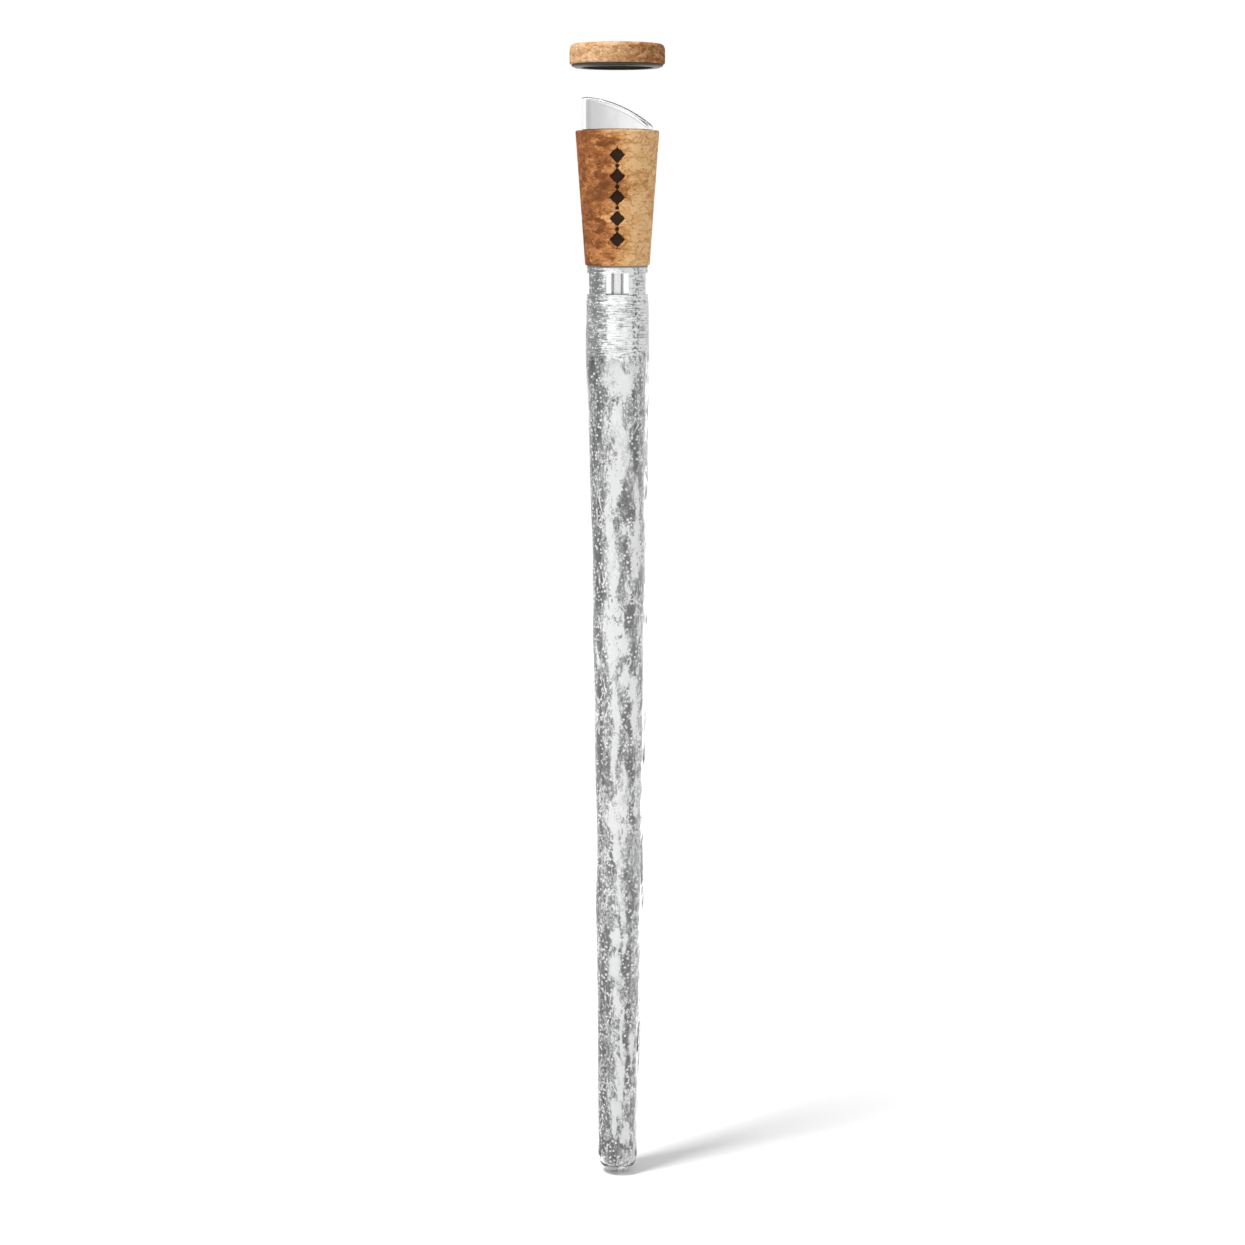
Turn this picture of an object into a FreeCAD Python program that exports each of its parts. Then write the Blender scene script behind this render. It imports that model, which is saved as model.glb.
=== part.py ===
import FreeCAD, Part
import Sketcher
import os
from types import SimpleNamespace

# In-bottle wine chiller: an icicle of gel in a clear shell hangs from a tapered cork
# stopper, a clear pouring spout slides in the stopper, and a cork cap closes over it.
# Millimetres. +Z runs up the axis from the icicle's tip, which is the origin, to the cap.
# The spout's high lip is on the -X side.

DRIVING_SIZES = [
    # icicle
    ("shell_length", 240.0, "tip to the rim of the icicle's shell"),
    ("neck_diameter", 16.4, "widest part below the cork, which passes an 18.5 mm bottle neck"),
    ("tip_diameter", 10.7, "icicle's diameter at its tip, before rounding"),
    ("tip_rounding", 3.6, "radius that rounds the tip"),
    ("shell_wall", 0.8, "wall of the icicle's shell"),
    ("mouth_wall", 1.2, "wall around the collar's spigot"),
    ("pilot_length", 9.0, "straight top of the shell, which centres in the neck"),
    ("mouth_depth", 12.0, "straight bore in the shell's top for the collar's spigot"),
    ("gel_ullage", 3.0, "room over the gel, which swells as it freezes"),
    ("tip_skin", 1.2, "shell left under the grommet"),
    ("grommet_diameter", 6.0, "soft bush that seals the vent tube at the tip"),
    ("grommet_length", 3.4, ""),
    ("vent_diameter", 3.2, "outside of the air tube down the middle"),
    ("vent_wall", 0.5, ""),
    ("vent_inset", 0.4, "air tube's lower end above the tip"),
    # inlet collar
    ("band_height", 8.9, "part of the collar that shows between shell and cork"),
    ("band_step", 0.2, "band inside the shell's straight top, on the radius"),
    ("spigot_length", 10.0, "collar's threaded end inside the shell"),
    ("spigot_wall", 1.8, ""),
    ("floor_thickness", 2.2, "closes the gel chamber under the inlet windows"),
    ("floor_sink", 0.6, "how far the floor reaches below the band"),
    ("window_width", 6.0, ""),
    ("window_height", 5.6, ""),
    ("window_sill", 0.2, "window's foot above the chamber's floor"),
    ("socket_height", 9.2, "collar's socket inside the cork, which takes the core"),
    ("socket_wall", 0.75, ""),
    ("ledge_height", 1.0, "step under the core, above the band"),
    ("ledge_width", 0.15, ""),
    ("thread_pitch", 1.25, ""),
    ("thread_depth", 0.4, ""),
    ("thread_lead", 1.0, "plain part before a thread starts"),
    # stopper
    ("gasket_thickness", 0.5, "ring between collar and cork"),
    ("cork_length", 34.9, ""),
    ("cork_foot_diameter", 17.0, "small end of the tapered cork"),
    ("cork_top_diameter", 22.0, "large end of the tapered cork"),
    ("cork_rounding", 0.4, "both outer edges of the cork"),
    ("core_diameter", 13.6, "stopper's core, which the cork sleeves"),
    ("core_wall", 1.0, "around the bore that the spout's stem slides in"),
    ("core_foot_wall", 1.1, "inside the core's thread"),
    ("flange_thickness", 2.0, "core's top flange, which clamps the cork"),
    ("retainer_thickness", 1.2, "ring that keeps the stem in"),
    ("flange_rim", 1.45, "flange around the retainer"),
    # spout
    ("spout_diameter", 18.7, ""),
    ("spout_wall", 1.1, ""),
    ("lip_rise", 8.6, "spout's high lip above the cork when it is up"),
    ("lip_drop", 7.2, "low lip below the high lip"),
    ("lip_curve", 38.0, "radius of the slanted lip's curve"),
    ("cup_seat", 1.6, "foot of the spout's cup below the cork's top when it is up"),
    ("cup_floor", 1.0, ""),
    ("spout_travel", 4.6, "how far the spout pushes down"),
    ("shaft_step", 0.35, "shaft in the retainer, below the stem's piston part on the radius"),
    ("shaft_wall", 1.2, "around the pouring channel"),
    ("stem_length", 18.6, "stem below the cup"),
    ("ring_section", 1.0, "section of the sealing rings"),
    ("ring_spacing", 4.0, "between the stem's two sealing rings"),
    ("aerator_thickness", 1.2, ""),
    ("aerator_web", 0.45, "disc left on each side of a hole"),
    ("aerator_inset", 0.4, "aerator above the foot of the stem"),
    # cap
    ("cap_diameter", 24.9, ""),
    ("cap_cork_height", 5.2, ""),
    ("cap_rounding", 1.4, "rounding of the cap's top edge"),
    ("cap_foot_rounding", 0.45, ""),
    ("cap_roof", 1.0, "cork left over the liner"),
    ("liner_wall", 0.7, ""),
    ("liner_roof", 0.6, ""),
    ("liner_flange", 0.5, ""),
    ("liner_inset", 0.5, "liner's flange inside the cap's edge"),
    ("cap_gasket_thickness", 0.4, ""),
    ("cap_gasket_inset", 0.2, "gasket inside the liner's flange"),
    ("cap_lifted", 16.1, "cap's underside above the cork when it is off"),
    # clearances
    ("slide_gap", 0.1, "spout's cup in the cork and shaft in the retainer, on the radius"),
    ("cap_gap", 0.25, "cap's inside around the spout, on the radius"),
    ("fit_gap", 0.05, "between pieces that are fitted together"),
    ("gel_gap", 0.1, "around the gel"),
    ("vent_gap", 0.4, "aerator around the air tube, on the radius"),
    ("seal_gap", 0.05, "between a sealing ring and the bore it seals"),
]

SHELL_THREAD_TURNS = 4
CORE_THREAD_TURNS = 5
AERATOR_HOLES = 8


class Size:
    """A length that carries its value and the spreadsheet expression that gives it."""

    def __init__(self, value, text):
        self.value = value
        self.text = text

    def __add__(self, other):
        other = as_size(other)
        return Size(self.value + other.value, f"({self.text} + {other.text})")

    def __sub__(self, other):
        other = as_size(other)
        return Size(self.value - other.value, f"({self.text} - {other.text})")

    def __mul__(self, other):
        other = as_size(other)
        return Size(self.value * other.value, f"({self.text} * {other.text})")

    def __truediv__(self, other):
        other = as_size(other)
        return Size(self.value / other.value, f"({self.text} / {other.text})")


def as_size(value):
    return value if isinstance(value, Size) else Size(float(value), str(value))


doc = FreeCAD.newDocument("wine_chiller")
sheet = doc.addObject("Spreadsheet::Sheet", "sizes")
sizes = SimpleNamespace()
for row, (alias, number, note) in enumerate(DRIVING_SIZES, start=1):
    sheet.set(f"A{row}", alias)
    sheet.set(f"B{row}", str(number))
    sheet.setAlias(f"B{row}", alias)
    sheet.set(f"C{row}", note)
    setattr(sizes, alias, Size(number, f"sizes.{alias}"))
doc.recompute()


# Sketches and features

def new_sketch(body, name, plane):
    sketch = body.newObject("Sketcher::SketchObject", name)
    origin_plane = next(f for f in body.Origin.OriginFeatures if f.Role == plane)
    sketch.AttachmentSupport = [(origin_plane, "")]
    sketch.MapMode = "FlatFace"
    return sketch


def pin_down(sketch, kind, *where, size):
    """Adds a dimension to a sketch and binds it to a size."""
    index = sketch.addConstraint(Sketcher.Constraint(kind, *where, size.value))
    sketch.setExpression(f"Constraints[{index}]", size.text)


def place_point(sketch, geometry, end, across, up):
    """Fixes a sketch point at (across, up) from the origin; None puts it on an axis."""
    for kind, axis, size in (("DistanceX", -2, across), ("DistanceY", -1, up)):
        if size is None:
            sketch.addConstraint(Sketcher.Constraint("PointOnObject", geometry, end, axis))
        elif size.value < 0:
            pin_down(sketch, kind, geometry, end, -1, 1, size=size * -1)
        else:
            pin_down(sketch, kind, -1, 1, geometry, end, size=size)


def at(size):
    return 0.0 if size is None else size.value


def draw_outline(sketch, corners):
    """A closed polygon through corners, each (across, up) as sizes, or None for 0."""
    points = [FreeCAD.Vector(at(r), at(z), 0) for r, z in corners]
    count = len(points)
    for i in range(count):
        sketch.addGeometry(Part.LineSegment(points[i], points[(i + 1) % count]), False)
    for i in range(count):
        sketch.addConstraint(Sketcher.Constraint("Coincident", i, 2, (i + 1) % count, 1))
        place_point(sketch, i, 1, *corners[i])


def turned(label, corners):
    """A body made by turning an outline about Z."""
    body = doc.addObject("PartDesign::Body", label)
    sketch = new_sketch(body, label + "_outline", "XZ_Plane")
    draw_outline(sketch, corners)
    turn = body.newObject("PartDesign::Revolution", label + "_turned")
    turn.Profile = sketch
    turn.ReferenceAxis = (sketch, ["V_Axis"])
    turn.Angle = 360
    doc.recompute()
    return body


def tube(label, inner, outer, foot, top):
    return turned(label, [(inner, foot), (outer, foot), (outer, top), (inner, top)])


def circle_edges(shape, radius, height):
    """Names of the circular edges about Z of that radius at that height."""
    found = []
    for index, edge in enumerate(shape.Edges, start=1):
        curve = edge.Curve
        if not isinstance(curve, Part.Circle):
            continue
        if abs(curve.Radius - radius.value) < 1e-4 and abs(curve.Center.z - height.value) < 1e-4:
            found.append(f"Edge{index}")
    return found


def round_edge(body, name, radius, height, rounding):
    base = body.Tip
    fillet = body.newObject("PartDesign::Fillet", name)
    fillet.Base = (base, circle_edges(base.Shape, radius, height))
    fillet.Radius = rounding.value
    fillet.setExpression("Radius", rounding.text)
    doc.recompute()


def cut_turned(body, name, corners):
    """Cuts away what an outline sweeps when it is turned about Z."""
    sketch = new_sketch(body, name + "_outline", "XZ_Plane")
    draw_outline(sketch, corners)
    groove = body.newObject("PartDesign::Groove", name)
    groove.Profile = sketch
    groove.ReferenceAxis = (sketch, ["V_Axis"])
    groove.Angle = 360
    doc.recompute()
    return groove


def cut_ring(body, name, outer, depth, foot, width):
    """One ring groove around a spigot, width high from foot up."""
    floor = outer - depth
    past = outer + depth
    top = foot + width
    return cut_turned(body, name, [(floor, foot), (past, foot), (past, top), (floor, top)])


def cut_ring_seat(body, name, outer, height):
    """The groove that a sealing ring centred at that height lies in."""
    depth = s.ring_section + s.fit_gap
    foot = height - s.ring_section / 2 - s.fit_gap
    cut_ring(body, name, outer, depth, foot, s.ring_section + s.fit_gap * 2)


def cut_thread(body, name, outer, foot, turns):
    """Evenly spaced ring grooves that stand for a thread of that many turns."""
    groove = cut_ring(body, name, outer, s.thread_depth, foot, s.thread_pitch / 2)
    length = s.thread_pitch * (turns - 1)
    repeat = body.newObject("PartDesign::LinearPattern", name + "_turns")
    repeat.Originals = [groove]
    repeat.Direction = (groove.Profile[0], ["V_Axis"])
    repeat.Occurrences = turns
    repeat.Length = length.value
    repeat.setExpression("Length", length.text)
    body.Tip = repeat
    doc.recompute()


def repeat_round(body, feature, name, count, angle):
    pattern = body.newObject("PartDesign::PolarPattern", name)
    pattern.Originals = [feature]
    z_axis = next(f for f in body.Origin.OriginFeatures if f.Role == "Z_Axis")
    pattern.Axis = (z_axis, [""])
    pattern.Angle = angle
    pattern.Occurrences = count
    body.Tip = pattern
    doc.recompute()


def sealing_ring(label, ring_radius, section_radius, height):
    ring = doc.addObject("Part::Torus", label)
    for name, size in (("Radius1", ring_radius), ("Radius2", section_radius)):
        setattr(ring, name, size.value)
        ring.setExpression(name, size.text)
    ring.Placement.Base.z = height.value
    ring.setExpression("Placement.Base.z", height.text)
    doc.recompute()
    return ring


# Radii and levels that several pieces share

s = sizes
neck = s.neck_diameter / 2
tip = s.tip_diameter / 2
pilot_foot = s.shell_length - s.pilot_length
mouth_foot = s.shell_length - s.mouth_depth
gel_top = mouth_foot - s.gel_ullage
grommet_foot = s.tip_skin
grommet_top = s.tip_skin + s.grommet_length
vent = s.vent_diameter / 2
vent_hole = vent + s.fit_gap
mouth = neck - s.mouth_wall
spigot = mouth - s.fit_gap
spigot_foot = s.shell_length - s.spigot_length
floor_foot = s.shell_length - s.floor_sink
floor_top = floor_foot + s.floor_thickness
band = neck - s.band_step
band_top = s.shell_length + s.band_height
cork_foot = band_top + s.gasket_thickness
cork_top = cork_foot + s.cork_length
core = s.core_diameter / 2
cork_bore = core + s.fit_gap
core_bore = core - s.core_wall
socket_top = band_top + s.socket_height
ledge = band_top + s.ledge_height
socket = core - s.socket_wall
chamber = socket - s.ledge_width
spout = s.spout_diameter / 2
counterbore = spout + s.slide_gap
flange = counterbore - s.fit_gap
retainer = flange - s.flange_rim - s.fit_gap
shoulder = cork_top - s.cup_seat
flange_top = shoulder - s.spout_travel - s.slide_gap
flange_foot = flange_top - s.flange_thickness
retainer_foot = flange_top - s.retainer_thickness
stem = core_bore - s.fit_gap
shaft = stem - s.shaft_step
throat = shaft - s.shaft_wall
stem_foot = shoulder - s.stem_length
stem_top = retainer_foot - s.fit_gap
ring = s.ring_section / 2
vent_top = flange_foot - s.fit_gap
cap_foot = cork_top + s.cap_lifted
cap_inside = spout + s.cap_gap


def cone(height):
    """The icicle's outer radius at a height below its straight top."""
    return tip + (neck - tip) * height / pilot_foot


# Icicle: shell, gel, vent tube and the grommet that seals it at the tip

def build_ice_shell():
    body = turned("ice_shell", [
        (None, None),
        (tip, None),
        (neck, pilot_foot),
        (neck, s.shell_length),
        (None, s.shell_length),
    ])
    round_edge(body, "ice_shell_tip", tip, as_size(0), s.tip_rounding)
    grommet = s.grommet_diameter / 2
    cut_turned(body, "ice_shell_inside", [
        (None, None),
        (vent_hole, None),
        (vent_hole, grommet_foot),
        (grommet, grommet_foot),
        (grommet, grommet_top),
        (cone(grommet_top) - s.shell_wall, grommet_top),
        (cone(mouth_foot) - s.shell_wall, mouth_foot),
        (mouth, mouth_foot),
        (mouth, s.shell_length),
        (None, s.shell_length),
    ])
    return body


def build_chill_gel():
    foot = grommet_top + s.gel_gap
    skin = s.shell_wall + s.gel_gap
    hole = vent + s.gel_gap
    return turned("chill_gel", [
        (hole, foot),
        (cone(foot) - skin, foot),
        (cone(gel_top) - skin, gel_top),
        (hole, gel_top),
    ])


def build_vent_tube():
    return tube("vent_tube", vent - s.vent_wall, vent, s.vent_inset, vent_top)


def build_tip_grommet():
    return tube("tip_grommet", vent, s.grommet_diameter / 2, grommet_foot, grommet_top)


# Inlet collar: wine enters the stopper through its windows

seal_pocket = vent + s.ring_section + s.fit_gap
pocket_top = floor_foot + s.ring_section + s.fit_gap
shell_ring_height = spigot_foot + s.ring_section * 1.5


def build_inlet_collar():
    body = turned("inlet_collar", [
        (spigot - s.spigot_wall, spigot_foot),
        (spigot, spigot_foot),
        (spigot, s.shell_length),
        (band, s.shell_length),
        (band, band_top),
        (core, band_top),
        (core, socket_top),
        (socket, socket_top),
        (socket, ledge),
        (chamber, ledge),
        (chamber, floor_top),
        (vent_hole, floor_top),
        (vent_hole, pocket_top),
        (seal_pocket, pocket_top),
        (seal_pocket, floor_foot),
        (spigot - s.spigot_wall, floor_foot),
    ])
    # One groove holds the shell's sealing ring, and the rest stand for the thread.
    cut_ring_seat(body, "shell_ring_seat", spigot, shell_ring_height)
    thread_foot = shell_ring_height + s.ring_section + s.thread_lead
    cut_thread(body, "shell_thread", spigot, thread_foot, SHELL_THREAD_TURNS)
    cut_windows(body)
    return body


def cut_windows(body):
    """Four windows: a pair cut right through from front to back, then turned by 90 degrees."""
    sketch = new_sketch(body, "window_outline", "XZ_Plane")
    half = s.window_width / 2
    foot = floor_top + s.window_sill
    top = foot + s.window_height
    draw_outline(sketch, [(half * -1, foot), (half, foot), (half, top), (half * -1, top)])
    window = body.newObject("PartDesign::Pocket", "window_pair")
    window.Profile = sketch
    window.Type = "ThroughAll"
    window.Midplane = True
    doc.recompute()
    repeat_round(body, window, "windows", 2, 90)


def build_shell_seal_ring():
    return sealing_ring("shell_seal_ring", mouth - s.seal_gap - ring, ring, shell_ring_height)


def build_vent_seal_ring():
    return sealing_ring("vent_seal_ring", vent + ring, ring, floor_foot + ring)


# Stopper: cork sleeve clamped between the collar's gasket and the core's flange

def build_collar_gasket():
    return tube("collar_gasket", cork_bore, band, band_top, cork_foot)


def build_cork_sleeve():
    body = turned("cork_sleeve", [
        (cork_bore, cork_foot),
        (s.cork_foot_diameter / 2, cork_foot),
        (s.cork_top_diameter / 2, cork_top),
        (counterbore, cork_top),
        (counterbore, flange_foot),
        (cork_bore, flange_foot),
    ])
    round_edge(body, "cork_top_edge", s.cork_top_diameter / 2, cork_top, s.cork_rounding)
    round_edge(body, "cork_foot_edge", s.cork_foot_diameter / 2, cork_foot, s.cork_rounding)
    return body


def build_stopper_core():
    thread = socket - s.fit_gap
    thread_foot = ledge + s.fit_gap
    shoulder_foot = socket_top + s.fit_gap
    foot_bore = thread - s.core_foot_wall
    pocket = retainer + s.fit_gap
    body = turned("stopper_core", [
        (foot_bore, thread_foot),
        (thread, thread_foot),
        (thread, shoulder_foot),
        (core, shoulder_foot),
        (core, flange_foot),
        (flange, flange_foot),
        (flange, flange_top),
        (pocket, flange_top),
        (pocket, retainer_foot),
        (core_bore, retainer_foot),
        (core_bore, shoulder_foot),
        (foot_bore, shoulder_foot),
    ])
    cut_thread(body, "core_thread", thread, thread_foot + s.thread_lead, CORE_THREAD_TURNS)
    return body


def build_spout_retainer():
    return tube("spout_retainer", shaft + s.slide_gap, retainer, retainer_foot, flange_top)


# Spout: a cup with a slanted lip on a stem that slides in the core

upper_ring_height = stem_top - s.ring_section * 1.5
lower_ring_height = upper_ring_height - s.ring_spacing
ring_radius = core_bore - s.seal_gap - ring


def build_pour_spout():
    body = turned("pour_spout", [
        (throat, stem_foot),
        (stem, stem_foot),
        (stem, stem_top),
        (shaft, stem_top),
        (shaft, shoulder),
        (spout, shoulder),
        (spout, cork_top + s.lip_rise),
        (spout - s.spout_wall, cork_top + s.lip_rise),
        (spout - s.spout_wall, shoulder + s.cup_floor),
        (throat, shoulder + s.cup_floor),
    ])
    cut_ring_seat(body, "upper_ring_seat", stem, upper_ring_height)
    cut_ring_seat(body, "lower_ring_seat", stem, lower_ring_height)
    cut_lip(body)
    return body


def cut_lip(body):
    """Cuts the cup's rim to a slanted curve, high at -X and low at +X."""
    sketch = new_sketch(body, "lip_outline", "XZ_Plane")
    high = cork_top + s.lip_rise
    low = high - s.lip_drop
    above = high + s.lip_drop
    left = FreeCAD.Vector(-spout.value, high.value, 0)
    right = FreeCAD.Vector(spout.value, low.value, 0)
    chord = right - left
    half = chord.Length / 2
    rise = s.lip_curve.value - (s.lip_curve.value ** 2 - half ** 2) ** 0.5
    crown = (left + right) / 2 + FreeCAD.Vector(-chord.y, chord.x, 0).normalize() * rise
    top_right = FreeCAD.Vector(spout.value, above.value, 0)
    top_left = FreeCAD.Vector(-spout.value, above.value, 0)
    sketch.addGeometry(Part.Arc(left, crown, right), False)
    sketch.addGeometry(Part.LineSegment(right, top_right), False)
    sketch.addGeometry(Part.LineSegment(top_right, top_left), False)
    sketch.addGeometry(Part.LineSegment(top_left, left), False)
    # An arc runs anticlockwise, so its first end is the right one.
    for where in ((0, 1, 1, 1), (1, 2, 2, 1), (2, 2, 3, 1), (3, 2, 0, 2)):
        sketch.addConstraint(Sketcher.Constraint("Coincident", *where))
    pin_down(sketch, "Radius", 0, size=s.lip_curve)
    pin_down(sketch, "DistanceX", -1, 1, 1, 1, size=spout)
    pin_down(sketch, "DistanceX", 3, 2, -1, 1, size=spout)
    sketch.addConstraint(Sketcher.Constraint("Vertical", 1))
    sketch.addConstraint(Sketcher.Constraint("Horizontal", 2))
    sketch.addConstraint(Sketcher.Constraint("Vertical", 3))
    pin_down(sketch, "DistanceY", -1, 1, 1, 1, size=low)
    pin_down(sketch, "DistanceY", -1, 1, 3, 2, size=high)
    pin_down(sketch, "DistanceY", -1, 1, 2, 1, size=above)
    cut = body.newObject("PartDesign::Pocket", "lip")
    cut.Profile = sketch
    cut.Type = "ThroughAll"
    cut.Midplane = True
    doc.recompute()


def build_aerator_disc():
    foot = stem_foot + s.aerator_inset
    top = foot + s.aerator_thickness
    inner = vent + s.vent_gap
    body = tube("aerator_disc", inner, throat, foot, top)
    sketch = new_sketch(body, "aerator_hole_outline", "XY_Plane")
    circle = (inner + throat) / 2
    centre = FreeCAD.Vector(circle.value, 0, 0)
    up = FreeCAD.Vector(0, 0, 1)
    hole_radius = (throat - inner) / 2 - s.aerator_web
    sketch.addGeometry(Part.Circle(centre, up, hole_radius.value), False)
    pin_down(sketch, "Radius", 0, size=hole_radius)
    place_point(sketch, 0, 3, circle, None)
    hole = body.newObject("PartDesign::Pocket", "aerator_hole")
    hole.Profile = sketch
    hole.Type = "ThroughAll"
    hole.Reversed = True
    doc.recompute()
    repeat_round(body, hole, "aerator_holes", AERATOR_HOLES, 360)
    return body


# Cap: cork disc, dark liner glued into it, and the gasket that lands on the stopper

gasket_top = cap_foot + s.cap_gasket_thickness
liner_top = gasket_top + s.liner_flange + s.cap_cork_height - s.cap_roof
cap_top = gasket_top + s.liner_flange + s.cap_cork_height


def build_cap_cork():
    foot = gasket_top + s.liner_flange
    pocket = cap_inside + s.liner_wall
    body = turned("cap_cork", [
        (pocket, foot),
        (s.cap_diameter / 2, foot),
        (s.cap_diameter / 2, cap_top),
        (None, cap_top),
        (None, liner_top),
        (pocket, liner_top),
    ])
    round_edge(body, "cap_top_edge", s.cap_diameter / 2, cap_top, s.cap_rounding)
    round_edge(body, "cap_foot_edge", s.cap_diameter / 2, foot, s.cap_foot_rounding)
    return body


def build_cap_liner():
    outside = cap_inside + s.liner_wall
    flange = s.cap_diameter / 2 - s.liner_inset
    return turned("cap_liner", [
        (cap_inside, gasket_top),
        (flange, gasket_top),
        (flange, gasket_top + s.liner_flange),
        (outside, gasket_top + s.liner_flange),
        (outside, liner_top),
        (None, liner_top),
        (None, liner_top - s.liner_roof),
        (cap_inside, liner_top - s.liner_roof),
    ])


def build_cap_gasket():
    outer = s.cap_diameter / 2 - s.liner_inset - s.cap_gasket_inset
    return tube("cap_gasket", spout + s.slide_gap, outer, cap_foot, gasket_top)


pieces = [
    build_ice_shell(),
    build_chill_gel(),
    build_vent_tube(),
    build_tip_grommet(),
    build_inlet_collar(),
    build_shell_seal_ring(),
    build_vent_seal_ring(),
    build_collar_gasket(),
    build_cork_sleeve(),
    build_stopper_core(),
    build_spout_retainer(),
    build_pour_spout(),
    sealing_ring("upper_stem_ring", ring_radius, ring, upper_ring_height),
    sealing_ring("lower_stem_ring", ring_radius, ring, lower_ring_height),
    build_aerator_disc(),
    build_cap_cork(),
    build_cap_liner(),
    build_cap_gasket(),
]
doc.recompute()

for item in doc.Objects:
    if "Invalid" in item.State or "Error" in item.State:
        raise RuntimeError(f"{item.Label} failed: {item.State}")
for piece in pieces:
    if piece.Shape.isNull() or not piece.Shape.isValid():
        raise RuntimeError(f"{piece.Label} has no valid shape")

os.makedirs("parts", exist_ok=True)
for piece in pieces:
    piece.Shape.exportStep(os.path.join("parts", piece.Label + ".step"))
    print(f"{piece.Label}: {piece.Shape.Volume / 1000:.3f} cm3")
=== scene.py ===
import math

import bmesh
import bpy
import numpy as np
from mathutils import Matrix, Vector


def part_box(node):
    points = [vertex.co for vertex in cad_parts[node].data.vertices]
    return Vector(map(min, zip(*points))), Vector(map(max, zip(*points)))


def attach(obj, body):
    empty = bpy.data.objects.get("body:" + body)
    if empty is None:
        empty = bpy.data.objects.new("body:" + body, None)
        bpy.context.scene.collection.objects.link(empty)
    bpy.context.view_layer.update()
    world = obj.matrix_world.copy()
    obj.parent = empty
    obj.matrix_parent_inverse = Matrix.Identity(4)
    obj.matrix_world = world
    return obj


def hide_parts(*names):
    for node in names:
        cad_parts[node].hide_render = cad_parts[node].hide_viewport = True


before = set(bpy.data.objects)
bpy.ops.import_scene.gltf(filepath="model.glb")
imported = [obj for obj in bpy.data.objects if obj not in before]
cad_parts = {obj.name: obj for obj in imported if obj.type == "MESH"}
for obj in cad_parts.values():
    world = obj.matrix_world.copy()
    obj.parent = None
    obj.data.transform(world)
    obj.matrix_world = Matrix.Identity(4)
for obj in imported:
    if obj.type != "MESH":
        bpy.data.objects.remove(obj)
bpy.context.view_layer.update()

mm = 0.001
tau = 2 * math.pi


# surfaces

def skin(name, points, closed=False):
    # A sheet of points, one row for each step along a profile and one column for each step round
    # the axis. Columns join up; rows join up too if closed, or else end in one point each.
    rows, cols = points.shape[:2]
    first = np.arange(rows * cols).reshape(rows, cols)
    verts = points.reshape(-1, 3)
    below = first if closed else first[:-1]
    above = np.roll(first, -1, axis=0) if closed else first[1:]
    quads = np.stack([below, np.roll(below, -1, 1), np.roll(above, -1, 1), above], axis=-1).reshape(-1, 4)
    a, b, c, d = (verts[quads[:, k]] for k in range(4))
    volume = np.einsum("ij,ij->i", a, np.cross(b, c) + np.cross(c, d)).sum()
    corner = quads[:, ::-1] if volume < 0 else quads
    mesh = bpy.data.meshes.new(name)
    mesh.from_pydata(verts.tolist(), [], corner.tolist())
    mesh.polygons.foreach_set("use_smooth", np.ones(len(quads), bool))
    if not closed:
        mergePoles(mesh)
    piece = bpy.data.objects.new(name, mesh)
    bpy.context.scene.collection.objects.link(piece)
    return piece


def mergePoles(mesh):
    # the first and last rows lie on the axis, so each becomes one point
    work = bmesh.new()
    work.from_mesh(mesh)
    bmesh.ops.remove_doubles(work, verts=work.verts, dist=1e-7)
    work.to_mesh(mesh)
    work.free()


def turned(profile, cols):
    # a profile of (radius, height) points carried round the axis
    angle = np.arange(cols) * tau / cols
    r, z = profile[:, :1], profile[:, 1:]
    return np.stack([r * np.cos(angle), r * np.sin(angle), z + 0 * angle], axis=-1)


def rounded(corners, steps=5, closed=True):
    # A path of straight runs with round corners. Each corner is (radius, height, rounding): a
    # quadratic curve leaves one run and meets the next at that distance from the corner.
    path = np.array([c[:2] for c in corners], float)
    out = []
    t = np.linspace(0, 1, steps)[:, None]
    for k, (r, z, rounding) in enumerate(corners):
        if rounding == 0 or (not closed and k in (0, len(corners) - 1)):
            out.append(path[k:k + 1])
            continue
        before, after = path[k - 1] - path[k], path[(k + 1) % len(path)] - path[k]
        p = path[k] + before / np.linalg.norm(before) * rounding
        q = path[k] + after / np.linalg.norm(after) * rounding
        out.append(p * (1 - t) ** 2 + path[k] * 2 * t * (1 - t) + q * t ** 2)
    return np.concatenate(out)


def resampled(path, step, closed=True):
    # the same path with extra points, so that none is further than a step from the next
    ends = np.roll(path, -1, axis=0) if closed else path[1:]
    out = []
    for p, q in zip(path, ends):
        count = max(1, int(np.ceil(np.linalg.norm(q - p) / step)))
        out.append(p + (q - p) * (np.arange(count) / count)[:, None])
    if not closed:
        out.append(path[-1:])
    return np.concatenate(out)


def lumps(turn, height, seed, around, tall):
    # Smooth random relief between -1 and 1 on a tube: random values on a lattice that joins up
    # round the tube, eased between the four nearest. turn and height both run from 0 to 1.
    rng = np.random.default_rng(seed)
    lattice = rng.uniform(-1, 1, (tall + 2, around))
    x, y = turn * around, np.clip(height, 0, 1) * tall
    i, j = np.floor(x).astype(int), np.floor(y).astype(int)
    fx, fy = x - i, y - j
    fx, fy = fx * fx * (3 - 2 * fx), fy * fy * (3 - 2 * fy)
    near, far = i % around, (i + 1) % around
    low = lattice[j, near] * (1 - fx) + lattice[j, far] * fx
    high = lattice[j + 1, near] * (1 - fx) + lattice[j + 1, far] * fx
    return low * (1 - fy) + high * fy


def layered(turn, height, layers):
    # a sum of lumps, each given as (how much, seed, lumps round the tube, lumps up it)
    return sum(much * lumps(turn, height, seed, around, tall) for much, seed, around, tall in layers)


def attribute(piece, name, values):
    layer = piece.data.attributes.new(name, "FLOAT", "POINT")
    layer.data.foreach_set("value", values.ravel().astype(np.float32))


# materials

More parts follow.
